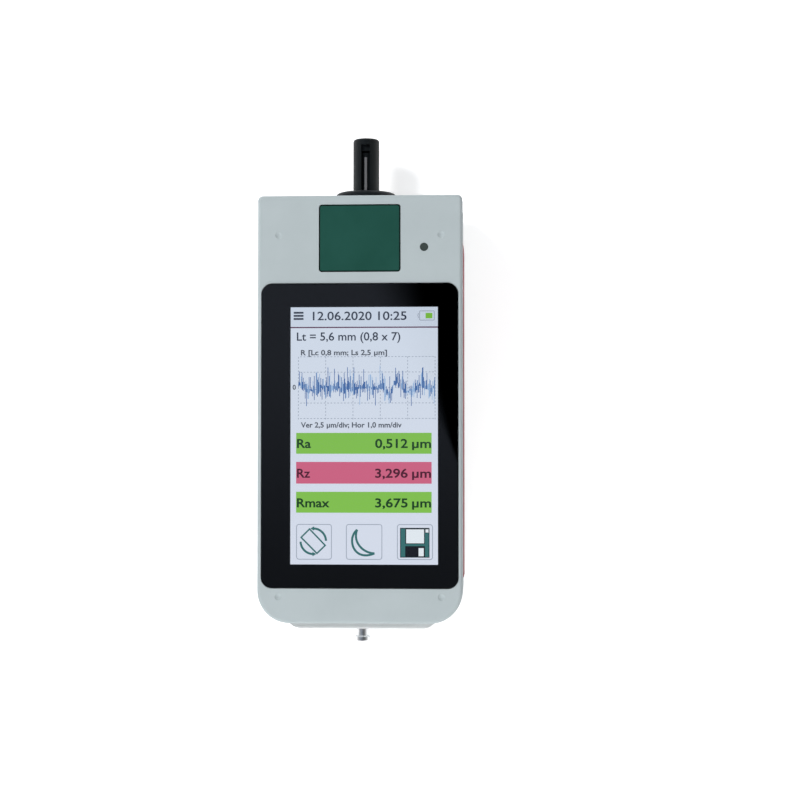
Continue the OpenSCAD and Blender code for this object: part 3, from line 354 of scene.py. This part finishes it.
def screen_ink(name, colour, tail_colour=None):
    """Colour that a lit display shows, broken up by its pixels, and another at its tail where given."""
    material, tree, place, shader = new_material(name)
    lit = place_group(tree, pixel_grid, Vector=place)["Shade"]
    length = add(tree, "SeparateXYZ", {0: place}).outputs["Y"]
    along = span(tree, length, screen_top - PICTURE_L * MM, screen_top, 0.0, 1.0)
    tone = ramp(tree, along, (0.0, tail_colour or colour), (1.0, colour))
    shown = blend_colours(tree, lit, (0, 0, 0, 1), tone)
    fill(tree, shader, Base_Color=(0.004, 0.004, 0.004, 1), Roughness=0.6, Specular_IOR_Level=0.0,
         Emission_Color=shown, Emission_Strength=GLASS_LOSS)
    return material


# Mesh helpers

# Vertices of a letter nearer than this are one, for a letter of size 1
WELD = 1e-5
# Limit that keeps the sharp corners of a letter from being drawn out far when its strokes are thickened
LEAST_LEAN = 0.6
# Segments of a rounded corner
CORNER_SEGMENTS = 12


def finish_piece(name, bm, material, body="housing"):
    """Makes a mesh into a piece that rides on a body."""
    mesh = bpy.data.meshes.new(name)
    bm.to_mesh(mesh)
    bm.free()
    piece = bpy.data.objects.new(name, mesh)
    bpy.context.scene.collection.objects.link(piece)
    mesh.materials.append(material)
    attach(piece, body)
    return piece


def add_block(bm, low, high):
    """Closed box between two corners."""
    stretch = Matrix.Diagonal((*(high - low), 1))
    bmesh.ops.create_cube(bm, size=1, matrix=Matrix.Translation((low + high) / 2) @ stretch)


def edges_where(bm, test):
    """Edges whose two ends pass a test."""
    return [e for e in bm.edges if test(e.verts[0].co, e.verts[1].co)]


def bevel(bm, edges, width, segments):
    bmesh.ops.bevel(bm, geom=edges, offset=width, offset_type="OFFSET", segments=segments, profile=0.5,
                    affect="EDGES", material=-1)


def round_block(bm, low, high, corner_r):
    """Closed box whose upright edges are rounded."""
    add_block(bm, low, high)
    upright = edges_where(bm, lambda a, b: abs(a.z - b.z) > (high.z - low.z) / 2)
    bevel(bm, upright, corner_r, CORNER_SEGMENTS)


def add_mesh(bm, mesh, matrix):
    """Puts a mesh in its place and joins it to another."""
    mesh.transform(matrix)
    bm.from_mesh(mesh)
    bpy.data.meshes.remove(mesh)


def embolden(mesh, weight):
    """Closes letters along the edges that their faces share, and moves their outlines outwards."""
    bm = bmesh.new()
    bm.from_mesh(mesh)
    bmesh.ops.remove_doubles(bm, verts=bm.verts[:], dist=WELD)
    bm.normal_update()
    moves = []
    for vert in bm.verts:
        walls = [face.normal for face in vert.link_faces if abs(face.normal.z) < 0.5]
        out = sum(walls, Vector()).normalized()
        lean = min(wall.dot(out) for wall in walls)
        moves.append((vert, out * weight / max(lean, LEAST_LEAN)))
    for vert, move in moves:
        vert.co += move
    bm.to_mesh(mesh)
    bm.free()


def curve_mesh(curve):
    """Mesh of a curve or text, at the origin."""
    holder = bpy.data.objects.new("curve", curve)
    bpy.context.scene.collection.objects.link(holder)
    evaluated = holder.evaluated_get(bpy.context.evaluated_depsgraph_get())
    mesh = bpy.data.meshes.new_from_object(evaluated)
    bpy.data.objects.remove(holder)
    return mesh


# Touch glass

glass_low, glass_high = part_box("touch_glass")
panel_low, panel_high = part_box("display_panel")
GLASS_CORNER = 4 * MM
GLASS_EDGE = 0.3 * MM
# Black print on the back of the glass: its thickness, its distance from the edge and from the picture, and
# its two shades
PRINT_T = 0.05 * MM
PRINT_INSET = 0.1 * MM
PRINT_MARGIN = 0.15 * MM
PRINT_DARK = (0.0012, 0.0013, 0.0016, 1)
PRINT_LIGHT = (0.002, 0.0022, 0.0027, 1)
# Size of the picture in mm, and how far it lies off the middle of the glass
PICTURE_W = 54.4
PICTURE_L = 94.8
PICTURE_SHIFT = 1.5 * MM
screen_left = (panel_low.x + panel_high.x - PICTURE_W * MM) / 2 + PICTURE_SHIFT
screen_top = (panel_low.y + panel_high.y + PICTURE_L * MM) / 2
# Emission that makes up for what the glass reflects
GLASS_LOSS = 1.09


def dress_glass():
    """Clear cover with a soft upper edge, and the print behind it."""
    cover = bmesh.new()
    round_block(cover, glass_low + Vector((0, 0, PRINT_T)), glass_high, GLASS_CORNER)
    upper_edges = edges_where(cover, lambda a, b: min(a.z, b.z) > glass_high.z - GLASS_EDGE / 4)
    bevel(cover, upper_edges, GLASS_EDGE, 4)
    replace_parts(finish_piece("glass_cover", cover, make_clear_glass()), "touch_glass")
    finish_piece("glass_print", print_frame(), make_black_print())


def print_frame():
    """Thin plate behind the glass with a window for the picture."""
    inset = Vector((PRINT_INSET, PRINT_INSET, 0))
    plate = bmesh.new()
    corner = Vector((glass_high.x, glass_high.y, glass_low.z + PRINT_T))
    round_block(plate, glass_low + inset, corner - inset, GLASS_CORNER)
    left, right = screen_left - PRINT_MARGIN, screen_left + PICTURE_W * MM + PRINT_MARGIN
    tail, head = screen_top - PICTURE_L * MM - PRINT_MARGIN, screen_top + PRINT_MARGIN
    for point, normal in (((left, 0, 0), (1, 0, 0)), ((right, 0, 0), (1, 0, 0)),
                          ((0, tail, 0), (0, 1, 0)), ((0, head, 0), (0, 1, 0))):
        geometry = plate.verts[:] + plate.edges[:] + plate.faces[:]
        bmesh.ops.bisect_plane(plate, geom=geometry, plane_co=point, plane_no=normal, dist=1e-7)
    window = [f for f in plate.faces if abs(f.normal.z) > 0.5
              and left < f.calc_center_median().x < right and tail < f.calc_center_median().y < head]
    rim = [e for e in plate.edges if sum(f in window for f in e.link_faces) == 1]
    bmesh.ops.delete(plate, geom=window, context="FACES_ONLY")
    bmesh.ops.bridge_loops(plate, edges=rim)
    bmesh.ops.recalc_face_normals(plate, faces=plate.faces[:])
    return plate


# Display: places on it are in mm from its left edge and from its upper edge

# Thickness of a layer of the picture: its ground is layer 1, and what lies on that is on layers 2 to 4
LAYER = 0.02 * MM
# Heights of the title bar and of the rule under it
TITLE_H = 7.25
RULE_H = 0.45
# Bars of the menu sign
MENU_U = (1.1, 4.75)
MENU_VS = (2.0, 3.15, 4.3)
MENU_T = 0.7
# Words, their start and end, base line and height of a capital
TITLE_WORDS = (("12.06.2020", 8.2, 30.0, 4.75, 3.05), ("10:25", 32.4, 42.9, 4.75, 3.05),
               ("Lt = 5,6 mm (0,8 x 7)", 2.3, 40.6, 12.3, 2.95))
CAPTIONS = (("R [Lc 0,8 mm; Ls 2,5 µm]", 3.8, 35.7, 17.7, 1.85),
            ("Ver 2,5 µm/div; Hor 1,0 mm/div", 3.8, 41.1, 44.4, 1.85), ("0", 0.75, 1.95, 30.4, 1.7))
# Results: label, its end, value and base line; where labels start, values and units lie, and their height
RESULTS = (("Ra", 7.6, "0,512", 51.9), ("Rz", 7.3, "3,296", 62.85), ("Rmax", 14.5, "3,675", 73.75))
LABEL_U = 2.4
VALUE_U = (31.3, 43.3)
UNIT_U = (44.9, 51.9)
RESULT_H = 3.15
# How much the strokes of the letters are thickened, for a letter of size 1
BOLD = 0.012
RESULT_BOLD = 0.022
FINE_BOLD = 0.026
# Bars behind the results
BAR_U = (2.1, 52.1)
BARS = ((46.4, 54.1), (57.1, 65.1), (68.1, 75.8))
# Grid of the profile, its dashes and its zero line
GRID_U = (2.9, 53.4)
GRID_V = (18.3, 41.1)
GRID_COLUMNS = 5
GRID_ROWS = 4
DASH = 0.65
DASH_PITCH = 1.25
GRID_T = 0.25
ZERO_V = 29.9
# Profile: its columns, its mean line as knots of (share of the length, rise), how far its columns reach
# above and below the mean line, its spikes and their share of the columns, and the share that is dark
TRACE_SEED = 7
TRACE_COLUMNS = 210
TRACE_MEAN = ((0, 1.6), (0.08, -0.8), (0.2, 0.6), (0.35, -0.2), (0.5, 0.2), (0.62, 0.0), (0.665, -2.8),
              (0.71, 2.6), (0.79, -1.2), (0.86, -0.6), (0.9, 1.9), (0.95, -0.4), (1, 0.4))
TRACE_REACH = (2.6, 2.4)
TRACE_SPIKE = (1.0, 3.6)
TRACE_SPIKES = 0.09
TRACE_DARK = 0.55
# Frames of the buttons, and their corners
BUTTONS = ((2.3, 15.2), (20.7, 33.8), (39.5, 52.4))
BUTTON_V = (80.1, 92.9)
BUTTON_R = 0.9
CORNER_POINTS = 5
# Widths of a thin line and of a sign's line
THIN = 0.28
ICON_T = 0.8
# Turn sign: the screen on its corner, the circle of its two arrows, the angles at which an arrow starts and
# ends, its points, the angle of its head and the head's size
TURN_SCREEN = ((7.1, 81.8), (12.9, 87.8), (9.85, 90.75), (4.0, 84.9))
TURN_MIDDLE = (8.5, 86.3)
TURN_R = 4.7
TURN_ARC = (2, 88)
TURN_POINTS = 14
TURN_HEAD_AT = 92
TURN_HEAD_R = 0.95
# Moon sign: its two tips, and the points that pull its outer and its inner side
MOON_TIPS = ((24.7, 82.0), (31.1, 90.7))
MOON_PULLS = (((20.7, 85.2), (23.2, 94.0)), ((22.9, 86.3), (26.6, 90.6)))
# Disk sign: its outline, the dark places on it and the pale ones
DISK = (40.5, 51.3, 81.3, 92.2)
DISK_DARKS = ((42.4, 49.55, 81.6, 87.2), (42.4, 49.65, 88.0, 91.9), (49.65, 51.0, 81.6, 83.2))
DISK_PALES = ((42.75, 49.3, 81.85, 86.95), (47.3, 49.2, 88.7, 91.7), (49.85, 50.95, 81.85, 83.0))
# Battery sign: its case, what is left in it, and its pole
CELL_CASE = (47.7, 53.1, 1.5, 4.9)
CELL_LEVEL = (49.9, 52.4, 2.25, 4.25)
CELL_POLE = ((47.3, 2.3), (47.05, 3.2), (47.3, 4.1))


def on_screen(u, v, layer=0):
    """Place on the display, on one of the layers that lie on its panel."""
    return Vector((screen_left + u * MM, screen_top - v * MM, panel_high.z + layer * LAYER))


def screen_block(bm, u0, u1, v0, v1, layer):
    add_block(bm, on_screen(u0, v1, layer - 1), on_screen(u1, v0, layer))


def screen_words(bm, words, u0, u1, base_v, height, layer, bold=BOLD):
    """Words whose capitals have this height, drawn out to fill u0 to u1."""
    curve = bpy.data.curves.new("words", "FONT")
    curve.body = words
    curve.resolution_u = 4
    curve.extrude = 0.5
    mesh = curve_mesh(curve)
    embolden(mesh, bold)
    xs = [v.co.x for v in mesh.vertices]
    wide = (u1 - u0) * MM / (max(xs) - min(xs))
    tall = height * MM / capital_height
    add_mesh(bm, mesh, Matrix.Translation(on_screen(u0, base_v, layer - 0.5))
             @ Matrix.Diagonal((wide, tall, LAYER, 1)) @ Matrix.Translation((-min(xs), 0, 0)))


def screen_stroke(bm, points, width, layer, closed=False):
    """Line through points, flattened on to the display."""
    curve = bpy.data.curves.new("stroke", "CURVE")
    curve.dimensions = "3D"
    curve.bevel_depth = width / 2 * MM
    curve.bevel_resolution = 1
    curve.use_fill_caps = not closed
    spline = curve.splines.new("POLY")
    spline.points.add(len(points) - 1)
    for point, (u, v) in zip(spline.points, points):
        place = on_screen(u, v)
        point.co = (place.x, place.y, 0, 1)
    spline.use_cyclic_u = closed
    flat = Matrix.Diagonal((1, 1, LAYER / (width * MM), 1))
    level = Matrix.Translation((0, 0, panel_high.z + (layer - 0.5) * LAYER))
    add_mesh(bm, curve_mesh(curve), level @ flat)


def arc(middle, radius, start, end, count):
    """Points along an arc on the display, by angles in degrees from the right, turning upwards."""
    u, v = middle
    angles = [math.radians(start + (end - start) * i / (count - 1)) for i in range(count)]
    return [(u + radius * math.cos(a), v - radius * math.sin(a)) for a in angles]


def bend(start, first_pull, second_pull, end, count=24):
    """Points along a curve between two points that two others pull."""
    knots = [Vector((*p, 0)) for p in (start, first_pull, second_pull, end)]
    return [(p.x, p.y) for p in interpolate_bezier(*knots, count)]


def round_outline(u0, u1, v0, v1, r):
    """Points along a frame with round corners."""
    corners = ((u1 - r, v0 + r), (u0 + r, v0 + r), (u0 + r, v1 - r), (u1 - r, v1 - r))
    points = []
    for i, corner in enumerate(corners):
        points += arc(corner, r, 90 * i, 90 * (i + 1), CORNER_POINTS)
    return points


def measure_capital():
    """Height of a capital in the built-in font at size 1."""
    curve = bpy.data.curves.new("capital", "FONT")
    curve.body = "H"
    mesh = curve_mesh(curve)
    height = max(v.co.y for v in mesh.vertices)
    bpy.data.meshes.remove(mesh)
    return height


def make_inks():
    """Colours of the display, each as it shows through the glass."""
    return {
        "ground": screen_ink("screen_ground", srgb(204, 214, 228), srgb(212, 219, 233)),
        "slate": screen_ink("screen_slate", srgb(42, 50, 66)),
        "grey": screen_ink("screen_grey", srgb(74, 80, 90)),
        "line": screen_ink("screen_line", srgb(150, 160, 176)),
        "plum": screen_ink("screen_plum", srgb(86, 44, 74)),
        "blue": screen_ink("screen_blue", srgb(62, 100, 158)),
        "pale_blue": screen_ink("screen_pale_blue", srgb(148, 178, 214)),
        "title": screen_ink("screen_title", srgb(197, 208, 223)),
        "green": screen_ink("screen_green", srgb(119, 181, 66), srgb(127, 190, 72)),
        "rose": screen_ink("screen_rose", srgb(200, 94, 125)),
        "leaf": screen_ink("screen_leaf", srgb(0, 56, 0)),
        "wine": screen_ink("screen_wine", srgb(72, 0, 32)),
        "teal": screen_ink("screen_teal", srgb(50, 106, 106)),
        "black": screen_ink("screen_black", srgb(4, 5, 14)),
        "pale": screen_ink("screen_pale", srgb(224, 232, 238)),
    }


def draw_ground(bm):
    screen_block(bm, 0, PICTURE_W, 0, PICTURE_L, 1)
    bmesh.ops.subdivide_edges(bm, edges=bm.edges[:], cuts=3, use_grid_fill=True)


def draw_title(bm):
    screen_block(bm, 0, PICTURE_W, 0, TITLE_H, 2)


def draw_rule(bm):
    screen_block(bm, 0, PICTURE_W, TITLE_H, TITLE_H + RULE_H, 2)


def draw_words(bm):
    for v in MENU_VS:
        screen_block(bm, *MENU_U, v - MENU_T / 2, v + MENU_T / 2, 3)
    for words in TITLE_WORDS:
        screen_words(bm, *words, 3)


def draw_captions(bm):
    for words in CAPTIONS:
        screen_words(bm, *words, 2, FINE_BOLD)


def draw_lines(bm):
    """Dashed grid, frames of the buttons and the battery sign's case."""
    for i in range(GRID_COLUMNS + 1):
        u = GRID_U[0] + (GRID_U[1] - GRID_U[0]) * i / GRID_COLUMNS
        v = GRID_V[0]
        while v < GRID_V[1]:
            screen_block(bm, u - GRID_T / 2, u + GRID_T / 2, v, v + DASH, 2)
            v += DASH_PITCH
    for i in range(GRID_ROWS + 1):
        v = GRID_V[0] + (GRID_V[1] - GRID_V[0]) * i / GRID_ROWS
        u = GRID_U[0] + DASH
        while u < GRID_U[1]:
            screen_block(bm, u, u + DASH, v - GRID_T / 2, v + GRID_T / 2, 2)
            u += DASH_PITCH
    for u0, u1 in BUTTONS:
        screen_stroke(bm, round_outline(u0, u1, *BUTTON_V, BUTTON_R), THIN, 2, closed=True)
    screen_stroke(bm, round_outline(*CELL_CASE, THIN), THIN, 3, closed=True)
    screen_stroke(bm, CELL_POLE, THIN, 3)


def mean_rise(share):
    """Mean line of the profile, from knot to knot."""
    for (start, low), (end, high) in zip(TRACE_MEAN, TRACE_MEAN[1:]):
        if share <= end:
            return low + (high - low) * (share - start) / (end - start)


def profile_columns():
    """Columns of the measured profile: whether each is dark, its two sides and its two ends."""
    chance = random.Random(TRACE_SEED)
    step = (GRID_U[1] - GRID_U[0]) / TRACE_COLUMNS
    for i in range(TRACE_COLUMNS):
        mean = mean_rise(i / TRACE_COLUMNS)
        rise = mean + abs(chance.gauss(0, TRACE_REACH[0]))
        if chance.random() < TRACE_SPIKES:
            rise += chance.uniform(*TRACE_SPIKE)
        fall = mean - abs(chance.gauss(0, TRACE_REACH[1]))
        u = GRID_U[0] + step * i
        yield chance.random() < TRACE_DARK, (u, u + step, ZERO_V - rise, ZERO_V - fall)


def draw_columns(bm, dark):
    """Those columns of the profile that are dark, or those that are pale."""
    for is_dark, block in profile_columns():
        if is_dark == dark:
            screen_block(bm, *block, 3)


def draw_trace(bm):
    draw_columns(bm, True)


def draw_pale_trace(bm):
    draw_columns(bm, False)


def draw_good_bars(bm):
    for v0, v1 in (BARS[0], BARS[2]):
        screen_block(bm, *BAR_U, v0, v1, 2)
    screen_block(bm, *CELL_LEVEL, 3)


def draw_limit_bar(bm):
    screen_block(bm, *BAR_U, *BARS[1], 2)


def draw_result(bm, label, label_end, value, base_v):
    for words, ends in ((label, (LABEL_U, label_end)), (value, VALUE_U), ("µm", UNIT_U)):
        screen_words(bm, words, *ends, base_v, RESULT_H, 3, RESULT_BOLD)


def draw_good_words(bm):
    draw_result(bm, *RESULTS[0])
    draw_result(bm, *RESULTS[2])


def draw_limit_words(bm):
    draw_result(bm, *RESULTS[1])


def draw_icons(bm):
    draw_turn_icon(bm)
    draw_moon_icon(bm)
    screen_block(bm, *DISK, 2)


def draw_turn_icon(bm):
    """Screen on its corner with two arrows that turn it."""
    screen_stroke(bm, TURN_SCREEN, ICON_T, 2, closed=True)
    for side in (0, 180):
        start, end = (side + angle for angle in TURN_ARC)
        screen_stroke(bm, arc(TURN_MIDDLE, TURN_R, start, end, TURN_POINTS), ICON_T, 2)
        u, v = arc(TURN_MIDDLE, TURN_R, side + TURN_HEAD_AT, side + TURN_HEAD_AT, 2)[0]
        turn = Matrix.Rotation(math.radians(side + 90), 4, "Z")
        bmesh.ops.create_cone(bm, cap_ends=True, segments=3, radius1=TURN_HEAD_R * MM,
                              radius2=TURN_HEAD_R * MM, depth=LAYER,
                              matrix=Matrix.Translation(on_screen(u, v, 1.5)) @ turn)


def draw_moon_icon(bm):
    """Crescent drawn as an outline, from tip to tip."""
    upper, lower = MOON_TIPS
    for pulls in MOON_PULLS:
        screen_stroke(bm, bend(upper, *pulls, lower), ICON_T, 2)


def draw_icon_darks(bm):
    """Outline of the disk, and the dark round its label, its notch and its shutter."""
    u0, u1, v0, v1 = DISK
    for block in ((u0, u0 + THIN, v0, v1), (u1 - THIN, u1, v0, v1), (u0 + THIN, u1 - THIN, v0, v0 + THIN),
                  (u0 + THIN, u1 - THIN, v1 - THIN, v1), *DISK_DARKS):
        screen_block(bm, *block, 3)


def draw_icon_pales(bm):
    for block in DISK_PALES:
        screen_block(bm, *block, 4)


# Pieces of the picture: name, what draws it, and its colour
SCREEN_PIECES = (
    ("picture", draw_ground, "ground"), ("title", draw_title, "title"), ("rule", draw_rule, "plum"),
    ("words", draw_words, "slate"), ("captions", draw_captions, "grey"), ("lines", draw_lines, "line"),
    ("trace", draw_trace, "blue"), ("pale_trace", draw_pale_trace, "pale_blue"),
    ("good_bars", draw_good_bars, "green"), ("limit_bar", draw_limit_bar, "rose"),
    ("good_words", draw_good_words, "leaf"), ("limit_words", draw_limit_words, "wine"),
    ("icons", draw_icons, "teal"), ("icon_darks", draw_icon_darks, "black"),
    ("icon_pales", draw_icon_pales, "pale"))


def draw_display():
    inks = make_inks()
    for name, draw, ink in SCREEN_PIECES:
        bm = bmesh.new()
        draw(bm)
        finish_piece("screen_" + name, bm, inks[ink])


# Studio

# Floor: its radius, its two shades, its glow near the object, and the distances between which it turns white
FLOOR_R = 12
FLOOR_DARK = (0.80, 0.80, 0.80, 1)
FLOOR_LIGHT = (0.82, 0.82, 0.82, 1)
FLOOR_GLOW = 0.58
GLOW_REACH = (0.2, 0.6)
WHITE = (1, 1, 1, 1)
# Pale ring round the horizon: its strength on the left and on the right, how far out it has them, and the
# heights between which it ends
RING_LEFT = 0.42
RING_RIGHT = 0.36
RING_SIDE = 0.6
RING_RISE = (0.5, 0.97)
# Heights between which the white of the horizon ends for metal and glass
WHITE_RISE = (0.05, 0.3)
# Grey card overhead: the way towards it, how far along that it begins, how much its edge is blurred at
# least and for each step towards the head, its strength towards the tail and towards the head, how far out
# it has them, and its colour
CARD_WAY = (-0.94, -0.338, 0)
CARD_EDGE = 0.0235
CARD_BLUR = (0.0015, 0.17)
CARD_LEVELS = (0.165, 0.41)
CARD_REACH = 0.09
CARD_COLOUR = (0.88, 1, 1.28, 1)
# Lamps: name, place, diameter and power in watts
LAMPS = (("key_lamp", (-1.0, 0.75, 1.1), 0.4, 20), ("tail_lamp", (0.05, -0.8, 0.3), 0.4, 4.2),
         ("fill_lamp", (1.1, -0.1, 1.1), 0.8, 5))


def make_floor():
    """Pale floor that looks white, apart from the shadow near the object."""
    bm = bmesh.new()
    bmesh.ops.create_circle(bm, cap_ends=True, radius=FLOOR_R, segments=96)
    mesh = bpy.data.meshes.new("floor")
    bm.to_mesh(mesh)
    bm.free()
    floor = bpy.data.objects.new("floor", mesh)
    bpy.context.scene.collection.objects.link(floor)
    material, tree, place, shader = new_material("pale_floor")
    shade = add(tree, "TexNoise", {"Vector": place, "Scale": 3.0})
    colour = ramp(tree, shade.outputs["Fac"], (0.3, FLOOR_DARK), (0.7, FLOOR_LIGHT))
    fill(tree, shader, Base_Color=colour, Roughness=0.9, Specular_IOR_Level=0.0)
    path = add(tree, "LightPath").outputs
    mirrored = math_node(tree, "MAXIMUM", path["Is Glossy Ray"], path["Is Transmission Ray"])
    seen = math_node(tree, "MAXIMUM", path["Is Camera Ray"], mirrored)
    away = add(tree, "VectorMath", {0: place}, operation="LENGTH").outputs["Value"]
    strength = span(tree, away, *GLOW_REACH, FLOOR_GLOW, 1.0)
    glow = add(tree, "Emission", {"Color": WHITE, "Strength": strength})
    both = add(tree, "AddShader", {0: shader.outputs[0], 1: glow.outputs[0]})
    mixed = add(tree, "MixShader", {0: seen, 1: shader.outputs[0], 2: both.outputs[0]})
    sink = next(n for n in tree.nodes if n.type == "OUTPUT_MATERIAL")
    tree.links.new(mixed.outputs[0], sink.inputs["Surface"])
    mesh.materials.append(material)


def make_world():
    """Pale round the horizon, dark overhead, with a grey card over the left and the tail.

    The camera sees white all round, and metal and glass see it along the horizon."""
    world = bpy.data.worlds.new("studio")
    bpy.context.scene.world = world
    world.use_nodes = True
    tree = world.node_tree
    tree.nodes.clear()
    way = add(tree, "TexCoord").outputs["Generated"]
    axes = add(tree, "SeparateXYZ", {0: way}).outputs
    near_horizon = span(tree, axes["Z"], *RING_RISE, 1.0, 0.0)
    ring = math_node(tree, "MULTIPLY", near_horizon,
                     span(tree, axes["X"], -RING_SIDE, RING_SIDE, RING_LEFT, RING_RIGHT))
    lean = add(tree, "VectorMath", {0: way, 1: CARD_WAY}, operation="DOT_PRODUCT").outputs["Value"]
    blur = math_node(tree, "MAXIMUM", math_node(tree, "MULTIPLY", axes["Y"], CARD_BLUR[1]), CARD_BLUR[0])
    past_edge = math_node(tree, "DIVIDE", math_node(tree, "SUBTRACT", lean, CARD_EDGE), blur)
    card = math_node(tree, "MULTIPLY", span(tree, past_edge, -1.0, 1.0, 0.0, 1.0),
                     span(tree, axes["Y"], -CARD_REACH, CARD_REACH, *CARD_LEVELS))
    overhead = math_node(tree, "MULTIPLY", card, math_node(tree, "SUBTRACT", 1.0, near_horizon))
    ring_light = add(tree, "Background", {"Color": WHITE, "Strength": ring})
    card_light = add(tree, "Background", {"Color": CARD_COLOUR, "Strength": overhead})
    both = add(tree, "AddShader", {0: ring_light.outputs[0], 1: card_light.outputs[0]})
    path = add(tree, "LightPath").outputs
    mirrored = math_node(tree, "MAXIMUM", path["Is Glossy Ray"], path["Is Transmission Ray"])
    mirrored = math_node(tree, "MULTIPLY", mirrored, span(tree, axes["Z"], *WHITE_RISE, 1.0, 0.0))
    seen = math_node(tree, "MAXIMUM", path["Is Camera Ray"], mirrored)
    white = add(tree, "Background", {"Color": WHITE, "Strength": 1.0})
    mixed = add(tree, "MixShader", {0: seen, 1: both.outputs[0], 2: white.outputs[0]})
    add(tree, "OutputWorld", {"Surface": mixed.outputs[0]})


def add_lamp(name, place, size, power):
    """Round lamp that shines on the object."""
    data = bpy.data.lights.new(name, "AREA")
    data.shape = "DISK"
    data.size = size
    data.energy = power
    lamp = bpy.data.objects.new(name, data)
    bpy.context.scene.collection.objects.link(lamp)
    lamp.location = place
    lamp.rotation_mode = "QUATERNION"
    lamp.rotation_quaternion = (-Vector(place)).to_track_quat("-Z", "Y")
    # The glass mirrors the studio without its lamps
    lamp.visible_glossy = False
    lamp.visible_transmission = False


set_camera()
bpy.context.scene.view_settings.view_transform = "Standard"
make_floor()
make_world()
for lamp in LAMPS:
    add_lamp(*lamp)

finishes = make_finishes()
# The glass is replaced, and the panel is black round its picture
finishes["touch_glass"] = finishes["black_plastic"]
finishes["display_panel"] = finishes["black_plastic"]
for part in frame["record"]["subparts"]:
    materials = solids[part["node"]].data.materials
    materials.clear()
    materials.append(finishes[part["material_slot"]])
# The metal strip along the pick-up is left bright and matt: a painted highlight, a pale grey in place of the
# shine of its metal
pickup_strip_painted_highlight = moulded("pickup_strip_painted_highlight", srgb(124, 124, 126), srgb(112, 112, 114), 0.5)
solids["pickup_spine"].data.materials[0] = pickup_strip_painted_highlight

capital_height = measure_capital()
dress_glass()
draw_display()
